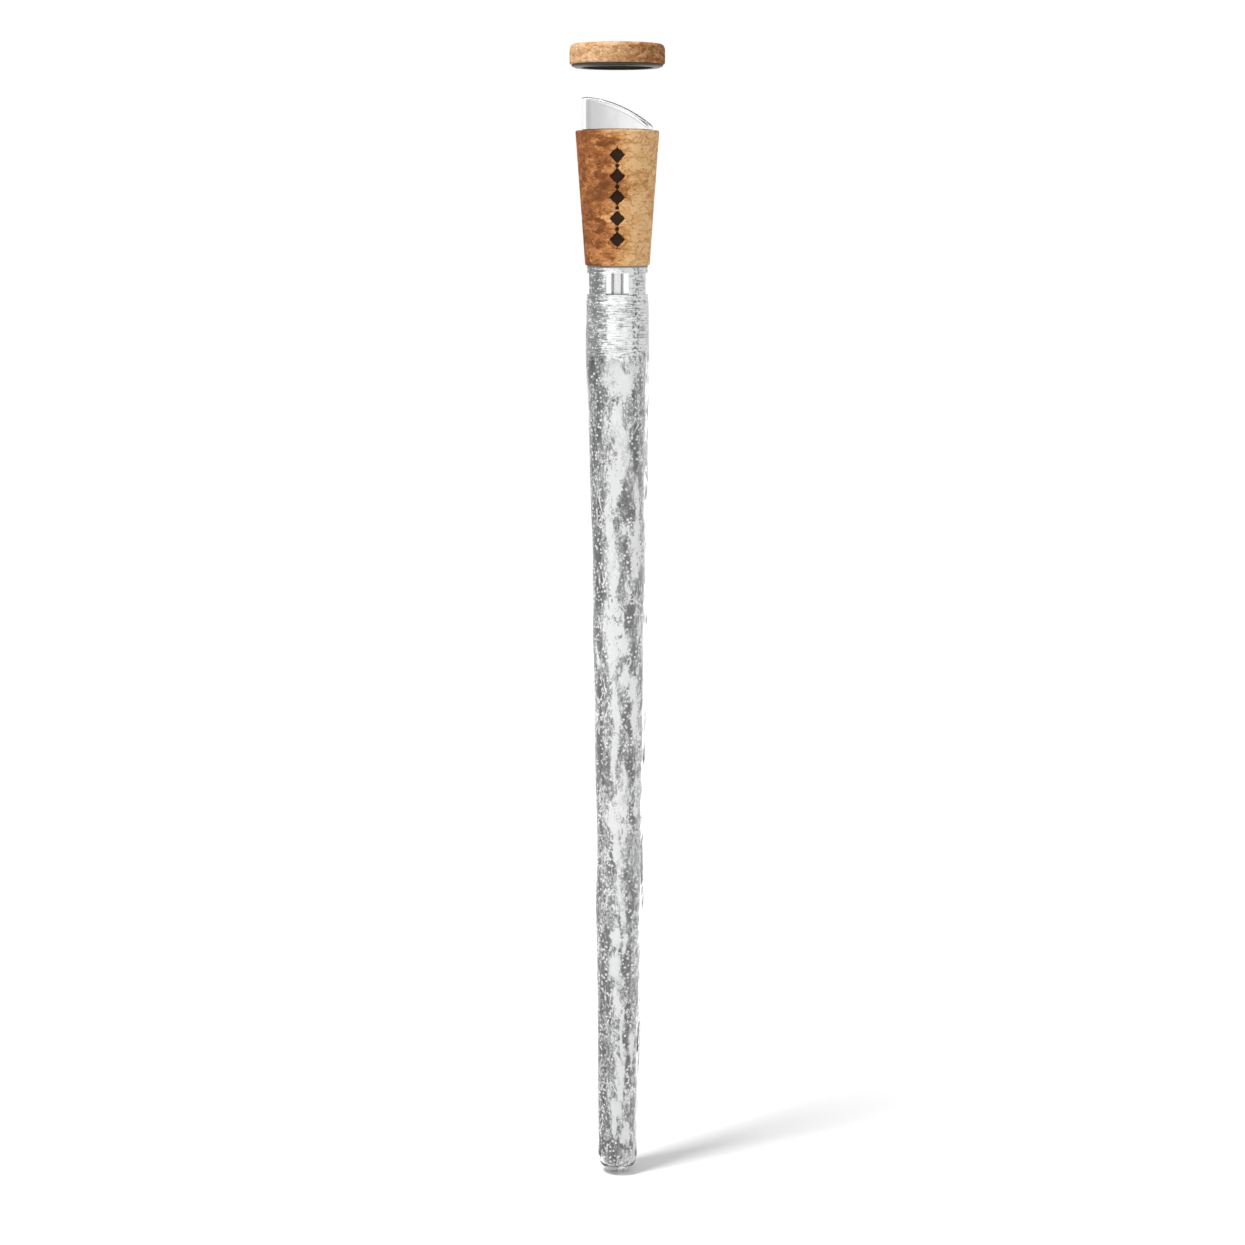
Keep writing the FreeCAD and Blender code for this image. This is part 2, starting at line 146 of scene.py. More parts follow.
def linear(hexColour):
    # an sRGB hex colour as linear red, green, blue and alpha
    parts = [int(hexColour[k:k + 2], 16) / 255 for k in (0, 2, 4)]
    return [c / 12.92 if c <= 0.04045 else ((c + 0.055) / 1.055) ** 2.4 for c in parts] + [1]


def addNode(mat, kind, inputs=(), stops=None, **settings):
    # adds a node, sets it up, and fills or links its inputs; hex text is a colour
    node = mat.node_tree.nodes.new("ShaderNode" + kind)
    for key, value in settings.items():
        setattr(node, key, value)
    if stops:
        ramp = node.color_ramp.elements
        while len(ramp) < len(stops):
            ramp.new(0.5)
        for element, (place, colour) in zip(ramp, stops):
            element.position = place
            element.color = linear(colour)
    for key, value in dict(inputs).items():
        socket = node.inputs[key]
        if isinstance(value, bpy.types.NodeSocket):
            mat.node_tree.links.new(value, socket)
        else:
            socket.default_value = linear(value) if isinstance(value, str) else value
    return node


def newMaterial(name):
    mat = bpy.data.materials.new(name)
    mat.use_nodes = True
    mat.node_tree.nodes.clear()
    return mat


def finishMaterial(mat, shader):
    addNode(mat, "OutputMaterial", {"Surface": shader})
    return mat


def dress(piece, *mats):
    piece.data.materials.clear()
    for mat in mats:
        piece.data.materials.append(mat)


# sizes that the pieces share, from the frame

shellHigh = np.array(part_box("ice_shell")[1])
corkLow, corkHigh = (np.array(v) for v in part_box("cork_sleeve"))
spoutLow, spoutHigh = (np.array(v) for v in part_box("pour_spout"))
gelLow, gelHigh = (np.array(v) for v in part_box("chill_gel"))
capLow, capHigh = (np.array(v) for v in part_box("cap_cork"))
linerLow, linerHigh = (np.array(v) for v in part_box("cap_liner"))
sealLow, sealHigh = (np.array(v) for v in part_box("cap_gasket"))
coreHigh = np.array(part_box("stopper_core")[1])
shoulderZ = coreHigh[2] + 4.7 * mm          # foot of the spout's cup, at rest

icicle = {
    "neckRadius": shellHigh[0], "tipRadius": 5.35 * mm, "straightTop": 9 * mm, "wall": 0.8 * mm,
    "mouthRadius": 7.0 * mm, "mouthDepth": 12 * mm, "mouthRound": 0.2 * mm,
    "stepHalf": 1.5 * mm,                       # half the height of the step under the mouth
    "tipRound": 5.2 * mm, "bushRadius": 3.0 * mm, "bushLow": 1.2 * mm, "ventRadius": 1.65 * mm,
    # the gel's foot, a ring round the bush that follows the rounded tip
    "heelHigh": 5.4 * mm, "heelMiddle": 3.5 * mm, "heelRadius": 4.14 * mm, "heelRound": 0.3 * mm,
    "toeLow": 2.5 * mm, "toeRadius": 3.5 * mm,
    "bow": 0.7 * mm,
    # gentle swellings and waists down the icicle: (height, how much, how tall)
    "swells": [(224, 0.22, 8), (175, -0.28, 10), (150, 0.12, 8), (94, -0.32, 9), (74, 0.32, 8),
               (12, -0.1, 6)],
    # random ripple in millimetres: (how much, seed, lumps round, lumps up); it fades out at the rim
    "ripples": [(0.16, 3, 5, 17), (0.10, 4, 9, 52), (0.05, 5, 22, 130), (0.05, 6, 16, 14)],
    "rimFade": 6 * mm,
    # how far the frost on the rim and on the step reaches, and where the fog starts and how it fades
    "rimFrost": 0.9 * mm, "stepFrost": 1.2 * mm, "fogLow": 220.5 * mm, "fogFade": 9 * mm,
    "cols": 116, "outerStep": 0.46 * mm, "innerStep": 2.4 * mm,
}


def coneRadius(z):
    # the icicle's outer radius: a straight taper up to its straight top
    share = np.clip(z / (shellHigh[2] - icicle["straightTop"]), 0, 1)
    return icicle["tipRadius"] + (icicle["neckRadius"] - icicle["tipRadius"]) * share


def swell(z):
    # the sum of the swellings, each a bell curve in height
    return sum(much * mm * np.exp(-((z / mm - high) / tall) ** 2) for high, much, tall in icicle["swells"])


def bowed(points):
    # leans the icicle's middle towards +X by half a sine wave between tip and rim
    share = np.clip(points[..., 2] / shellHigh[2], 0, 1)
    points[..., 0] += icicle["bow"] * np.sin(math.pi * share)
    return points


def tipShape(z):
    # rounds the tip: the radius grows as a quarter of an ellipse over the tip's height
    share = np.clip(z / icicle["tipRound"], 0, 1)
    return np.sqrt(np.clip(1 - (1 - share) ** 2, 0, 1)) ** 0.85


# icicle's clear shell

def buildShell():
    # Outside: the taper, plus the swellings, plus layers of random ripple that fade out at the rim.
    # Inside: the same taper less the wall, smooth, with a step and the mouth above it, and below
    # it the rounded heel, the pocket for the bush and the vent.
    s = icicle
    top = shellHigh[2]
    outerZ = np.linspace(0, 1, int(top / s["outerStep"]))
    outerZ = top * (0.985 * outerZ + 0.015 * outerZ ** 3)
    turn = np.arange(s["cols"]) / s["cols"]
    t, z = np.meshgrid(turn, outerZ)
    share = z / top
    fade = np.clip((top - z) / s["rimFade"], 0, 1) ** 0.5
    ripple = layered(t, share, s["ripples"])
    r = (coneRadius(z) + (swell(z) + ripple * mm) * fade) * tipShape(z + 0.02 * mm)
    r = np.maximum(r, s["ventRadius"])
    outside = np.stack([r * np.cos(t * tau), r * np.sin(t * tau), z], -1)
    taperTop = top - s["mouthDepth"]
    inside = [
        (s["mouthRadius"], top, s["mouthRound"]),
        (s["mouthRadius"], taperTop + s["stepHalf"], 0),
        (coneRadius(taperTop) - s["wall"], taperTop - s["stepHalf"], 0),
        (coneRadius(s["heelHigh"]) - s["wall"], s["heelHigh"], 0),
        (s["heelRadius"] + gel["gap"], s["heelMiddle"], s["heelRound"]),
        (s["toeRadius"], s["toeLow"], 0),
        (s["bushRadius"], s["toeLow"], 0),
        (s["bushRadius"], s["bushLow"], 0),
        (s["ventRadius"], s["bushLow"], 0),
        (s["ventRadius"], 0, 0)]
    inner = turned(resampled(rounded(inside, closed=False), s["innerStep"], closed=False), s["cols"])
    points = bowed(np.concatenate([outside, inner]))
    piece = skin("icicleShell", points, closed=True)
    # frost on the moulded rim and on the step under the mouth
    atRim = np.exp(-(np.abs(points[..., 2] - top) / s["rimFrost"]) ** 2)
    atStep = np.exp(-(np.abs(points[..., 2] - taperTop) / s["stepFrost"]) ** 2)
    attribute(piece, "frost", np.maximum(atRim, 0.8 * atStep))
    # cold fog on the outside round the mouth, where the collar's spigot sits behind the wall
    fog = np.clip((points[..., 2] - s["fogLow"]) / s["fogFade"], 0, 1)
    fog[len(outside):] = 0
    attribute(piece, "fog", fog)
    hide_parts("ice_shell")
    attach(piece, "chiller")
    return piece


# the frozen gel inside the shell

gel = {
    "gap": 0.06 * mm, "cols": 180, "step": 0.43 * mm, "swollen": 2.6 * mm,
    "wallFrom": 1.6 * mm,            # where the wall starts over the middle of the tip's heel
    "footFade": 3 * mm, "topDrop": 0.8 * mm,
    # shallow dents in millimetres: (how much, seed, lumps round, lumps up)
    "dents": [(0.10, 11, 12, 70), (0.07, 12, 34, 210), (0.04, 13, 60, 400)],
    # painted shade down two sides: (degrees, how wide, how much)
    "paintedSideShade": [(206, 22, 0.7), (338, 18, 0.15)],
    # frozen on to the shell's wall along one side: degrees, how wide, how far into the wall
    "contactAt": 190, "contactWide": 46, "contact": 0.14 * mm,
    "scattered": 34,                 # spots added at random to the back, of each kind
    # cloudy white lobes: (height, degrees round from +X, how tall, how wide in degrees)
    "clouds": [
        (228, 262, 9, 22), (226, 300, 7, 16), (219, 278, 4, 30), (208, 272, 5.5, 13), (203, 279, 5, 15),
        (197, 277, 5, 17), (190, 266, 6, 17), (184, 250, 7, 16), (178, 296, 6, 10), (186, 318, 9, 9),
        (176, 258, 10, 11), (166, 262, 7, 10), (172, 314, 7, 8), (158, 256, 4, 16), (151, 272, 4, 26),
        (146, 262, 5, 12), (140, 292, 3.5, 11), (145, 212, 2.5, 9), (137, 303, 3.5, 11), (132, 268, 8, 9),
        (128, 312, 6, 7), (118, 264, 7, 9), (106, 277, 5, 10), (101, 262, 4.5, 14), (97, 285, 4, 11),
        (108, 290, 9, 3), (92, 262, 5, 10), (86, 276, 3, 3), (80, 279, 6, 5), (74, 285, 5, 8),
        (69, 262, 3, 13), (66, 292, 3, 9), (60, 258, 5, 16), (50, 268, 5, 10), (41, 283, 7, 5),
        (35, 315, 6, 10), (33, 268, 4, 9), (27, 278, 6, 10), (21, 275, 6, 10), (14, 262, 7, 11),
        (11, 300, 4, 12)],
    # clear dark pockets, in the same way
    "pockets": [
        (222, 218, 5, 17), (214, 226, 5, 12), (206, 222, 3.5, 16), (205, 311, 6, 9), (198, 313, 5, 8),
        (189, 286, 4, 13), (182, 296, 6, 14), (186, 223, 5, 12), (176, 296, 6, 12), (176, 218, 7, 15),
        (166, 222, 8, 16), (156, 296, 6.5, 13), (150, 216, 6, 16), (145, 303, 4, 9), (136, 222, 5, 15),
        (128, 296, 7, 10), (124, 216, 8, 13), (115, 306, 6, 12), (110, 212, 5, 10), (112, 240, 9, 14),
        (103, 306, 4, 12), (98, 214, 12, 8), (90, 250, 5, 14), (86, 205, 16, 7), (80, 300, 9, 16),
        (78, 238, 6, 13), (67, 238, 5, 12), (58, 298, 8, 14), (54, 236, 7, 14), (47, 248, 3.5, 14),
        (46, 300, 5, 12), (37, 216, 5, 10), (38, 296, 3, 12), (29, 305, 7, 10), (24, 222, 8, 12),
        (16, 240, 4, 12), (7, 255, 3.2, 40), (8, 300, 2.5, 25)],
}


def scattered(count, seed):
    # more spots for the back and the sides, at random, as (height, degrees, how tall, how wide)
    draw = np.random.default_rng(seed)
    high, degrees = draw.uniform(8, 224, count), draw.uniform(-10, 190, count)
    tall, wide = draw.uniform(3, 9, count), draw.uniform(7, 17, count)
    return list(zip(high, degrees, tall, wide))


def lobes(turn, z, spots, seed):
    # the strongest of a list of soft oval spots; random shifts and ripples make their edges ragged
    share = z / shellHigh[2]
    ragged = 1 + 0.45 * lumps(turn, share, seed, 24, 130)
    turn = turn + 0.022 * lumps(turn, share, seed + 50, 12, 60)
    z = z + 1.6 * mm * lumps(turn, share, seed + 60, 14, 70)
    out = np.zeros_like(z)
    for high, degrees, tall, wide in spots:
        around = (turn * 360 - degrees + 180) % 360 - 180
        away = ((z / mm - high) / tall) ** 2 + (around / wide) ** 2
        out = np.maximum(out, np.clip(2.3 * np.exp(-away * ragged) - 0.6, 0, 1))
    return out


def buildGel():
    # The shell's inside less a thin gap, less shallow random dents, closed at both ends. Along
    # one side it is frozen on to the wall and goes slightly into it, by a bell curve round the
    # axis. Its foot is a ring round the bush, and it has swollen up to the step under the mouth.
    s = gel
    top, low = gelHigh[2] + s["swollen"], gelLow[2]
    height = np.linspace(low, top, int((top - low) / s["step"]))
    turn = np.arange(s["cols"]) / s["cols"]
    t, z = np.meshgrid(turn, height)
    share = z / shellHigh[2]
    dents = layered(t, share, s["dents"])
    touching = np.exp(-((((t * 360 - s["contactAt"] + 180) % 360 - 180) / s["contactWide"]) ** 2))
    r = coneRadius(z) - icicle["wall"] - s["gap"] - np.clip(dents, 0, 1) * mm * (1 - touching)
    r += s["contact"] * touching * np.clip((z - low) / s["footFade"], 0, 1)
    r -= s["topDrop"] * np.exp(-(top - z) / mm / 0.5)
    wall = np.stack([r * np.cos(t * tau), r * np.sin(t * tau), z], -1)
    pole = np.zeros((1, s["cols"], 3))
    tip, gap = icicle, s["gap"]
    ring = [(tip["bushRadius"] + gap, low, 0), (tip["bushRadius"] + gap, tip["toeLow"] + gap, 0.1 * mm),
            (tip["toeRadius"] - gap, tip["toeLow"] + gap, 0.15 * mm),
            (tip["heelRadius"] - gap, tip["heelMiddle"], tip["heelRound"])]
    ring = turned(resampled(rounded(ring, closed=False), s["step"], closed=False), s["cols"])
    wall = wall[height > tip["heelMiddle"] + s["wallFrom"]]
    foot, head = pole + (0, 0, low), pole + (0, 0, top)
    piece = skin("frozenGel", bowed(np.concatenate([foot, ring, wall, head])))
    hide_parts("chill_gel")
    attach(piece, "chiller")
    at = np.empty(len(piece.data.vertices) * 3, np.float32)
    piece.data.vertices.foreach_get("co", at)
    at = at.reshape(-1, 3)
    around = np.arctan2(at[:, 1], at[:, 0]) / tau % 1
    up = at[:, 2]
    clouds = s["clouds"] + scattered(s["scattered"], 31)
    attribute(piece, "cloud", lobes(around, up, clouds, 21))
    # painted shade down two sides, stored with the clear pockets in the pocket attribute
    paintedSideShading = sum(much * np.exp(-((around * 360 - degrees) / wide) ** 2) for degrees, wide, much in s["paintedSideShade"])
    paintedSideShading = paintedSideShading * (1 + 0.6 * lumps(around, up / shellHigh[2], 23, 6, 40))
    pockets = s["pockets"] + scattered(s["scattered"], 32)
    attribute(piece, "pocket", np.clip(np.maximum(lobes(around, up, pockets, 22), paintedSideShading), 0, 1))
    return piece


# cork stopper

corkShape = {
    "cols": 300, "step": 0.24 * mm, "rounding": 0.5 * mm,
    "footRadius": 8.5 * mm, "topRadius": 11.0 * mm,
    "bore": 6.85 * mm, "counterbore": 9.45 * mm, "counterFoot": coreHigh[2] - 2 * mm,
    # pits: how deep, and the random field they follow as (how much, seed, lumps round, lumps up)
    "pit": 0.16 * mm, "pits": [(0.5, 31, 34, 16), (0.35, 32, 90, 42), (0.25, 33, 150, 70)],
}

# a burnt row of lozenges and dots down the front of the cork, in millimetres
ornament = {"middle": 17.6, "height": 26.2, "pitch": 5.4, "lozengeWide": 2.15, "lozengeTall": 2.1,
            "dotRadius": 0.55, "burntDepth": 0.2}


def ornamentMask(u, v):
    # u and v in millimetres from the row's middle. A lozenge is where |u| / wide + |v| / tall is
    # under 1, once every pitch; a dot is a small circle half-way between two lozenges.
    o = ornament
    fromLozenge = (v + o["pitch"] / 2) % o["pitch"] - o["pitch"] / 2
    lozenge = np.abs(u) / o["lozengeWide"] + np.abs(fromLozenge) / o["lozengeTall"] < 1
    fromDot = v % o["pitch"] - o["pitch"] / 2
    dot = np.hypot(u, fromDot) < o["dotRadius"]
    return (lozenge | dot) & (np.abs(v) < o["height"] / 2)


def buildCork():
    # A tapered tube. Its outside is pitted: where a fine random field is low, the surface sinks.
    s = corkShape
    low, top = corkLow[2], corkHigh[2]
    outer = rounded([(s["bore"], low, 0.1 * mm), (s["footRadius"], low, s["rounding"]),
                     (s["topRadius"], top, s["rounding"]), (s["counterbore"], top, 0.2 * mm),
                     (s["counterbore"], s["counterFoot"], 0)], closed=False)
    outer = resampled(outer, s["step"], closed=False)
    inner = np.array([(s["bore"], s["counterFoot"])])
    profile = np.concatenate([outer, inner])
    points = turned(profile, s["cols"])
    turn = np.broadcast_to(np.arange(s["cols"]) / s["cols"], points.shape[:2])
    z = points[..., 2]
    share = (z - low) / (top - low)
    rough = layered(turn, share, s["pits"])
    radius = np.hypot(points[..., 0], points[..., 1])
    cone = s["footRadius"] + (s["topRadius"] - s["footRadius"]) * share
    outside = np.clip((radius - cone + 0.45 * mm) / (0.3 * mm), 0, 1)
    sink = s["pit"] * np.clip(rough - 0.12, 0, 1) * outside
    front = ((turn - 0.75 + 0.5) % 1 - 0.5) * tau * radius / mm
    marks = ornamentMask(front, (z - low) / mm - ornament["middle"]) * outside
    sink += ornament["burntDepth"] * mm * marks
    points[..., :2] *= ((radius - sink) / radius)[..., None]
    piece = skin("corkStopper", points, closed=True)
    attribute(piece, "burnt", marks)
    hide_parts("cork_sleeve")
    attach(piece, "chiller")
    return piece


# cork cap with its dark liner and its seal

capShape = {
    "cols": 220, "step": 0.3 * mm, "topRound": 1.6 * mm, "footRound": 0.45 * mm,
    "pocket": 10.3 * mm, "pit": 0.09 * mm, "pits": [(0.6, 41, 96, 7), (0.4, 42, 150, 12)],
}


def buildCap():
    # a disc with a round top edge and a pocket below for the liner, lightly pitted outside
    s = capShape
    low, top, r = capLow[2], capHigh[2], capHigh[0]
    path = rounded([(0, linerHigh[2], 0), (s["pocket"], linerHigh[2], 0), (s["pocket"], low, 0),
                    (r, low, s["footRound"]), (r, top, s["topRound"]), (0, top, 0)], closed=False)
    profile = resampled(path, s["step"], closed=False)
    points = turned(profile, s["cols"])
    turn = np.broadcast_to(np.arange(s["cols"]) / s["cols"], points.shape[:2])
    z = points[..., 2]
    rough = layered(turn, (z - low) / (top - low), s["pits"])
    outside = (profile[:, :1] > s["pocket"] * 1.08)
    radius = np.maximum(np.hypot(points[..., 0], points[..., 1]), 1e-9)
    points[..., :2] *= 1 - (s["pit"] * np.clip(rough - 0.1, 0, 1) * outside / radius)[..., None]
    piece = skin("corkCap", points)
    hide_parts("cap_cork")
    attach(piece, "cap")
    return piece


linerShape = {
    "cols": 128, "inner": 9.6 * mm, "outer": 10.3 * mm, "roof": 0.6 * mm, "flange": 0.5 * mm,
    "edge": 0.18 * mm, "step": 0.5 * mm,
    # the shallow ring in the ceiling: the start and end of each of its slopes, and its depth
    "ringInside": (3.2 * mm, 3.5 * mm), "ringOutside": (6.9 * mm, 7.2 * mm), "ringDip": 0.25 * mm,
}


def buildLiner():
    # a shallow cup with a flange, every edge rounded; its ceiling dips by a shallow ring
    s = linerShape
    low, top, wide = linerLow[2], linerHigh[2], linerHigh[0]
    e = s["edge"]
    ceiling = top - s["roof"]
    dip = ceiling - s["ringDip"]
    path = rounded([(0, ceiling, 0), (s["ringInside"][0], ceiling, e), (s["ringInside"][1], dip, e),
                    (s["ringOutside"][0], dip, e), (s["ringOutside"][1], ceiling, e),
                    (s["inner"], ceiling, 0.5 * mm),
                    (s["inner"], low, e), (wide, low, e), (wide, low + s["flange"], e),
                    (s["outer"], low + s["flange"], 0), (s["outer"], top, 0), (0, top, 0)], closed=False)
    piece = skin("linerCup", turned(resampled(path, s["step"], closed=False), s["cols"]))
    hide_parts("cap_liner")
    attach(piece, "cap")
    return piece


sealShape = {
    "cols": 128, "step": 0.3 * mm, "inner": 9.45 * mm, "lip": 0.12 * mm, "edge": 0.04 * mm,
    "groove": (10.3 * mm, 10.45 * mm, 10.65 * mm, 10.8 * mm),      # the start and end of its two slopes
    "bevelFrom": 11.0 * mm, "bevelRise": 0.3 * mm,
}


def buildSeal():
    # a ring with round lips and a shallow groove round its face, bevelled towards its outer edge
    s = sealShape
    low, top, outer = sealLow[2], sealHigh[2], sealHigh[0]
    e, edge = s["lip"], s["edge"]
    a, b, c, d = s["groove"]
    path = rounded([(s["inner"], low, e), (a, low, e), (b, low + e, e), (c, low + e, e), (d, low, e),
                    (s["bevelFrom"], low, e), (outer, low + s["bevelRise"], edge), (outer, top, edge),
                    (s["inner"], top, e)])
    piece = skin("capSeal", turned(resampled(path, s["step"]), s["cols"]), closed=True)
    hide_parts("cap_gasket")
    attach(piece, "cap")
    return piece


# clear pouring spout

spoutShape = {
    "cols": 160, "wall": 1.1 * mm, "floor": 1.0 * mm, "lipRise": 8.6 * mm, "lipDrop": 7.2 * mm,
    "lipCurve": 38 * mm, "throat": 4.2 * mm, "shaft": 5.4 * mm, "stem": 5.75 * mm,
    "stemTop": coreHigh[2] - 1.25 * mm, "ringAt": (275.25 * mm, 271.25 * mm), "ringSeat": 0.55 * mm,
    "ringDepth": 1.05 * mm, "edge": 0.12 * mm, "step": 0.5 * mm,
    "lipRows": 13, "climbRows": 26,
    "paintedShadowBelowRim": 0.66 * mm, "paintedShadowWide": 0.16 * mm,      # the painted shadow line just under the rim: how far under it, and how wide
}


def lipHeight(x):
    # the lip's height over the cork at x: an arc through its high end at -X and its low end at +X
    s = spoutShape
    r = spoutHigh[0]
    run, drop = 2 * r, s["lipDrop"]
    chord = math.hypot(run, drop)
    down = math.atan2(drop, run)
    depth = math.sqrt(s["lipCurve"] ** 2 - chord ** 2 / 4)
    middleX, middleZ = -depth * math.sin(down), s["lipRise"] - drop / 2 - depth * math.cos(down)
    return middleZ + np.sqrt(s["lipCurve"] ** 2 - (x - middleX) ** 2)


def upright(radius, angle, heights):
    # a straight wall: the same circle for each row, at heights worked out for each column
    circle = np.stack([radius * np.cos(angle), radius * np.sin(angle)], -1)
    return np.concatenate([np.broadcast_to(circle, heights.shape + (2,)), heights[..., None]], -1)


def buildSpout():
    # A profile from the stem's foot up the outside, over a half-round lip and down the inside.
    # Above the cup's floor the heights stretch, so that the lip follows its slanted arc.
    s = spoutShape
    low, r = spoutLow[2], spoutHigh[0]
    corkTop = corkHigh[2]
    wall, half = s["wall"], s["wall"] / 2
    e = s["edge"]
    stem = [(s["throat"], low, 0.3 * mm), (s["stem"], low, e)]
    for seat in reversed(s["ringAt"]):
        ring, groove = s["ringSeat"], s["stem"] - s["ringDepth"]
        stem += [(s["stem"], seat - ring, e), (groove, seat - ring, 0),
                 (groove, seat + ring, 0), (s["stem"], seat + ring, e)]
    stem += [(s["stem"], s["stemTop"], e), (s["shaft"], s["stemTop"], 0), (s["shaft"], shoulderZ, 0.2 * mm),
             (r, shoulderZ, 0.5 * mm), (r, corkTop, 0)]
    stem = rounded(stem, closed=False)
    lipAngle = np.linspace(0, math.pi, s["lipRows"])[:, None]
    lip = np.concatenate([r - half + half * np.cos(lipAngle), half * np.sin(lipAngle)], 1)
    cup = rounded([(r - wall, corkTop, 0), (r - wall, shoulderZ + s["floor"], 0.9 * mm),
                   (s["throat"], shoulderZ + s["floor"], 0.5 * mm), (s["throat"], low, 0.3 * mm)],
                  closed=False)
    stem, cup = (resampled(part, s["step"], closed=False) for part in (stem, cup))
    climb = np.linspace(0, 1, s["climbRows"])[1:-1, None]
    angle = np.arange(s["cols"]) * tau / s["cols"]
    lipFoot = corkTop + lipHeight(r * np.cos(angle)) - half
    rise = upright(r, angle, corkTop + climb * (lipFoot - corkTop))
    over = np.stack([lip[:, :1] * np.cos(angle), lip[:, :1] * np.sin(angle), lip[:, 1:] + lipFoot], -1)
    fall = upright(r - wall, angle, corkTop + climb[::-1] * (lipFoot - corkTop))
    points = np.concatenate([turned(stem, s["cols"]), rise, over, fall, turned(cup, s["cols"])])
    piece = skin("pouringSpout", points, closed=True)
    below = np.maximum(lipFoot + half - points[..., 2], 0)
    innerRows = np.zeros(points.shape[:2])
    innerRows[len(stem) + len(rise) + len(over):] = 1
    # a painted shadow line round the inner face just under the rim, stored in the attribute named step; the
    # cup's inner wall has no step there
    paintedRimShadow = np.exp(-((below - s["paintedShadowBelowRim"]) / s["paintedShadowWide"]) ** 2) * innerRows
    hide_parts("pour_spout")
    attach(piece, "spout")
    attribute(piece, "inside", innerRows)
    attribute(piece, "step", paintedRimShadow)
    return piece


# the tip's vent bush and the clear collar

bushShape = {
    "cols": 64, "step": 0.3 * mm, "radius": 3.0 * mm, "bore": 1.65 * mm, "low": 1.2 * mm, "high": 4.6 * mm,
    "clear": 0.05 * mm,                                    # kept all round in the shell's pocket
    "bead": 0.2 * mm, "beadTall": 1.1 * mm, "waistFrom": 1.3 * mm,
}


def buildBush():
    # a short tube with round lips and two shallow beads round its outside
    s = bushShape
    r, low, high = s["radius"] - s["clear"], s["low"] + s["clear"], s["high"] - s["clear"]
    waist = r - s["bead"]
    path = rounded([(s["bore"], low, 0.2 * mm), (r, low, 0.3 * mm), (r, low + s["beadTall"], 0.2 * mm),
                    (waist, low + s["waistFrom"], 0.1 * mm), (waist, high - s["waistFrom"], 0.1 * mm),
                    (r, high - s["beadTall"], 0.2 * mm), (r, high, 0.3 * mm), (s["bore"], high, 0.2 * mm)])
    piece = skin("tipBush", turned(resampled(path, s["step"]), s["cols"]), closed=True)
    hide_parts("tip_grommet")
    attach(piece, "chiller")
    return piece


# patterns for the materials

def mapped(mat, source, scale, offset=(0, 0, 0)):
    # a coordinate stretched so that one unit is `scale` millimetres along each axis
    along = [1 / (s * mm) for s in scale]
    return addNode(mat, "Mapping", {"Vector": source, "Scale": along, "Location": offset}).outputs["Vector"]


def maths(mat, operation, a, b=0.5, clamp=False):
    return addNode(mat, "Math", {0: a, 1: b}, operation=operation, use_clamp=clamp).outputs[0]


def noise(mat, vector, detail=3, roughness=0.55, distortion=0, output="Fac"):
    inputs = {"Vector": vector, "Scale": 1, "Detail": detail, "Roughness": roughness,
              "Distortion": distortion}
    return addNode(mat, "TexNoise", inputs).outputs[output]


def stretched(mat, value, low, high, toLow=0, toHigh=1):
    # the value carried from one range to another and held there
    inputs = {"Value": value, "From Min": low, "From Max": high, "To Min": toLow, "To Max": toHigh}
    return addNode(mat, "MapRange", inputs, clamp=True).outputs["Result"]


def blended(mat, share, a, b, how="MIX"):
    # colour b over colour a, by a share from 0 to 1
    node = addNode(mat, "Mix", data_type="RGBA", blend_type=how)
    for k, value in ((0, share), (6, a), (7, b)):
        if isinstance(value, bpy.types.NodeSocket):
            mat.node_tree.links.new(value, node.inputs[k])
        else:
            node.inputs[k].default_value = linear(value) if isinstance(value, str) else value
    return node.outputs[2]


iceLook = {"ior": 1.49, "roughness": 0.02, "patchShare": 0.6, "rimShare": 0.85}


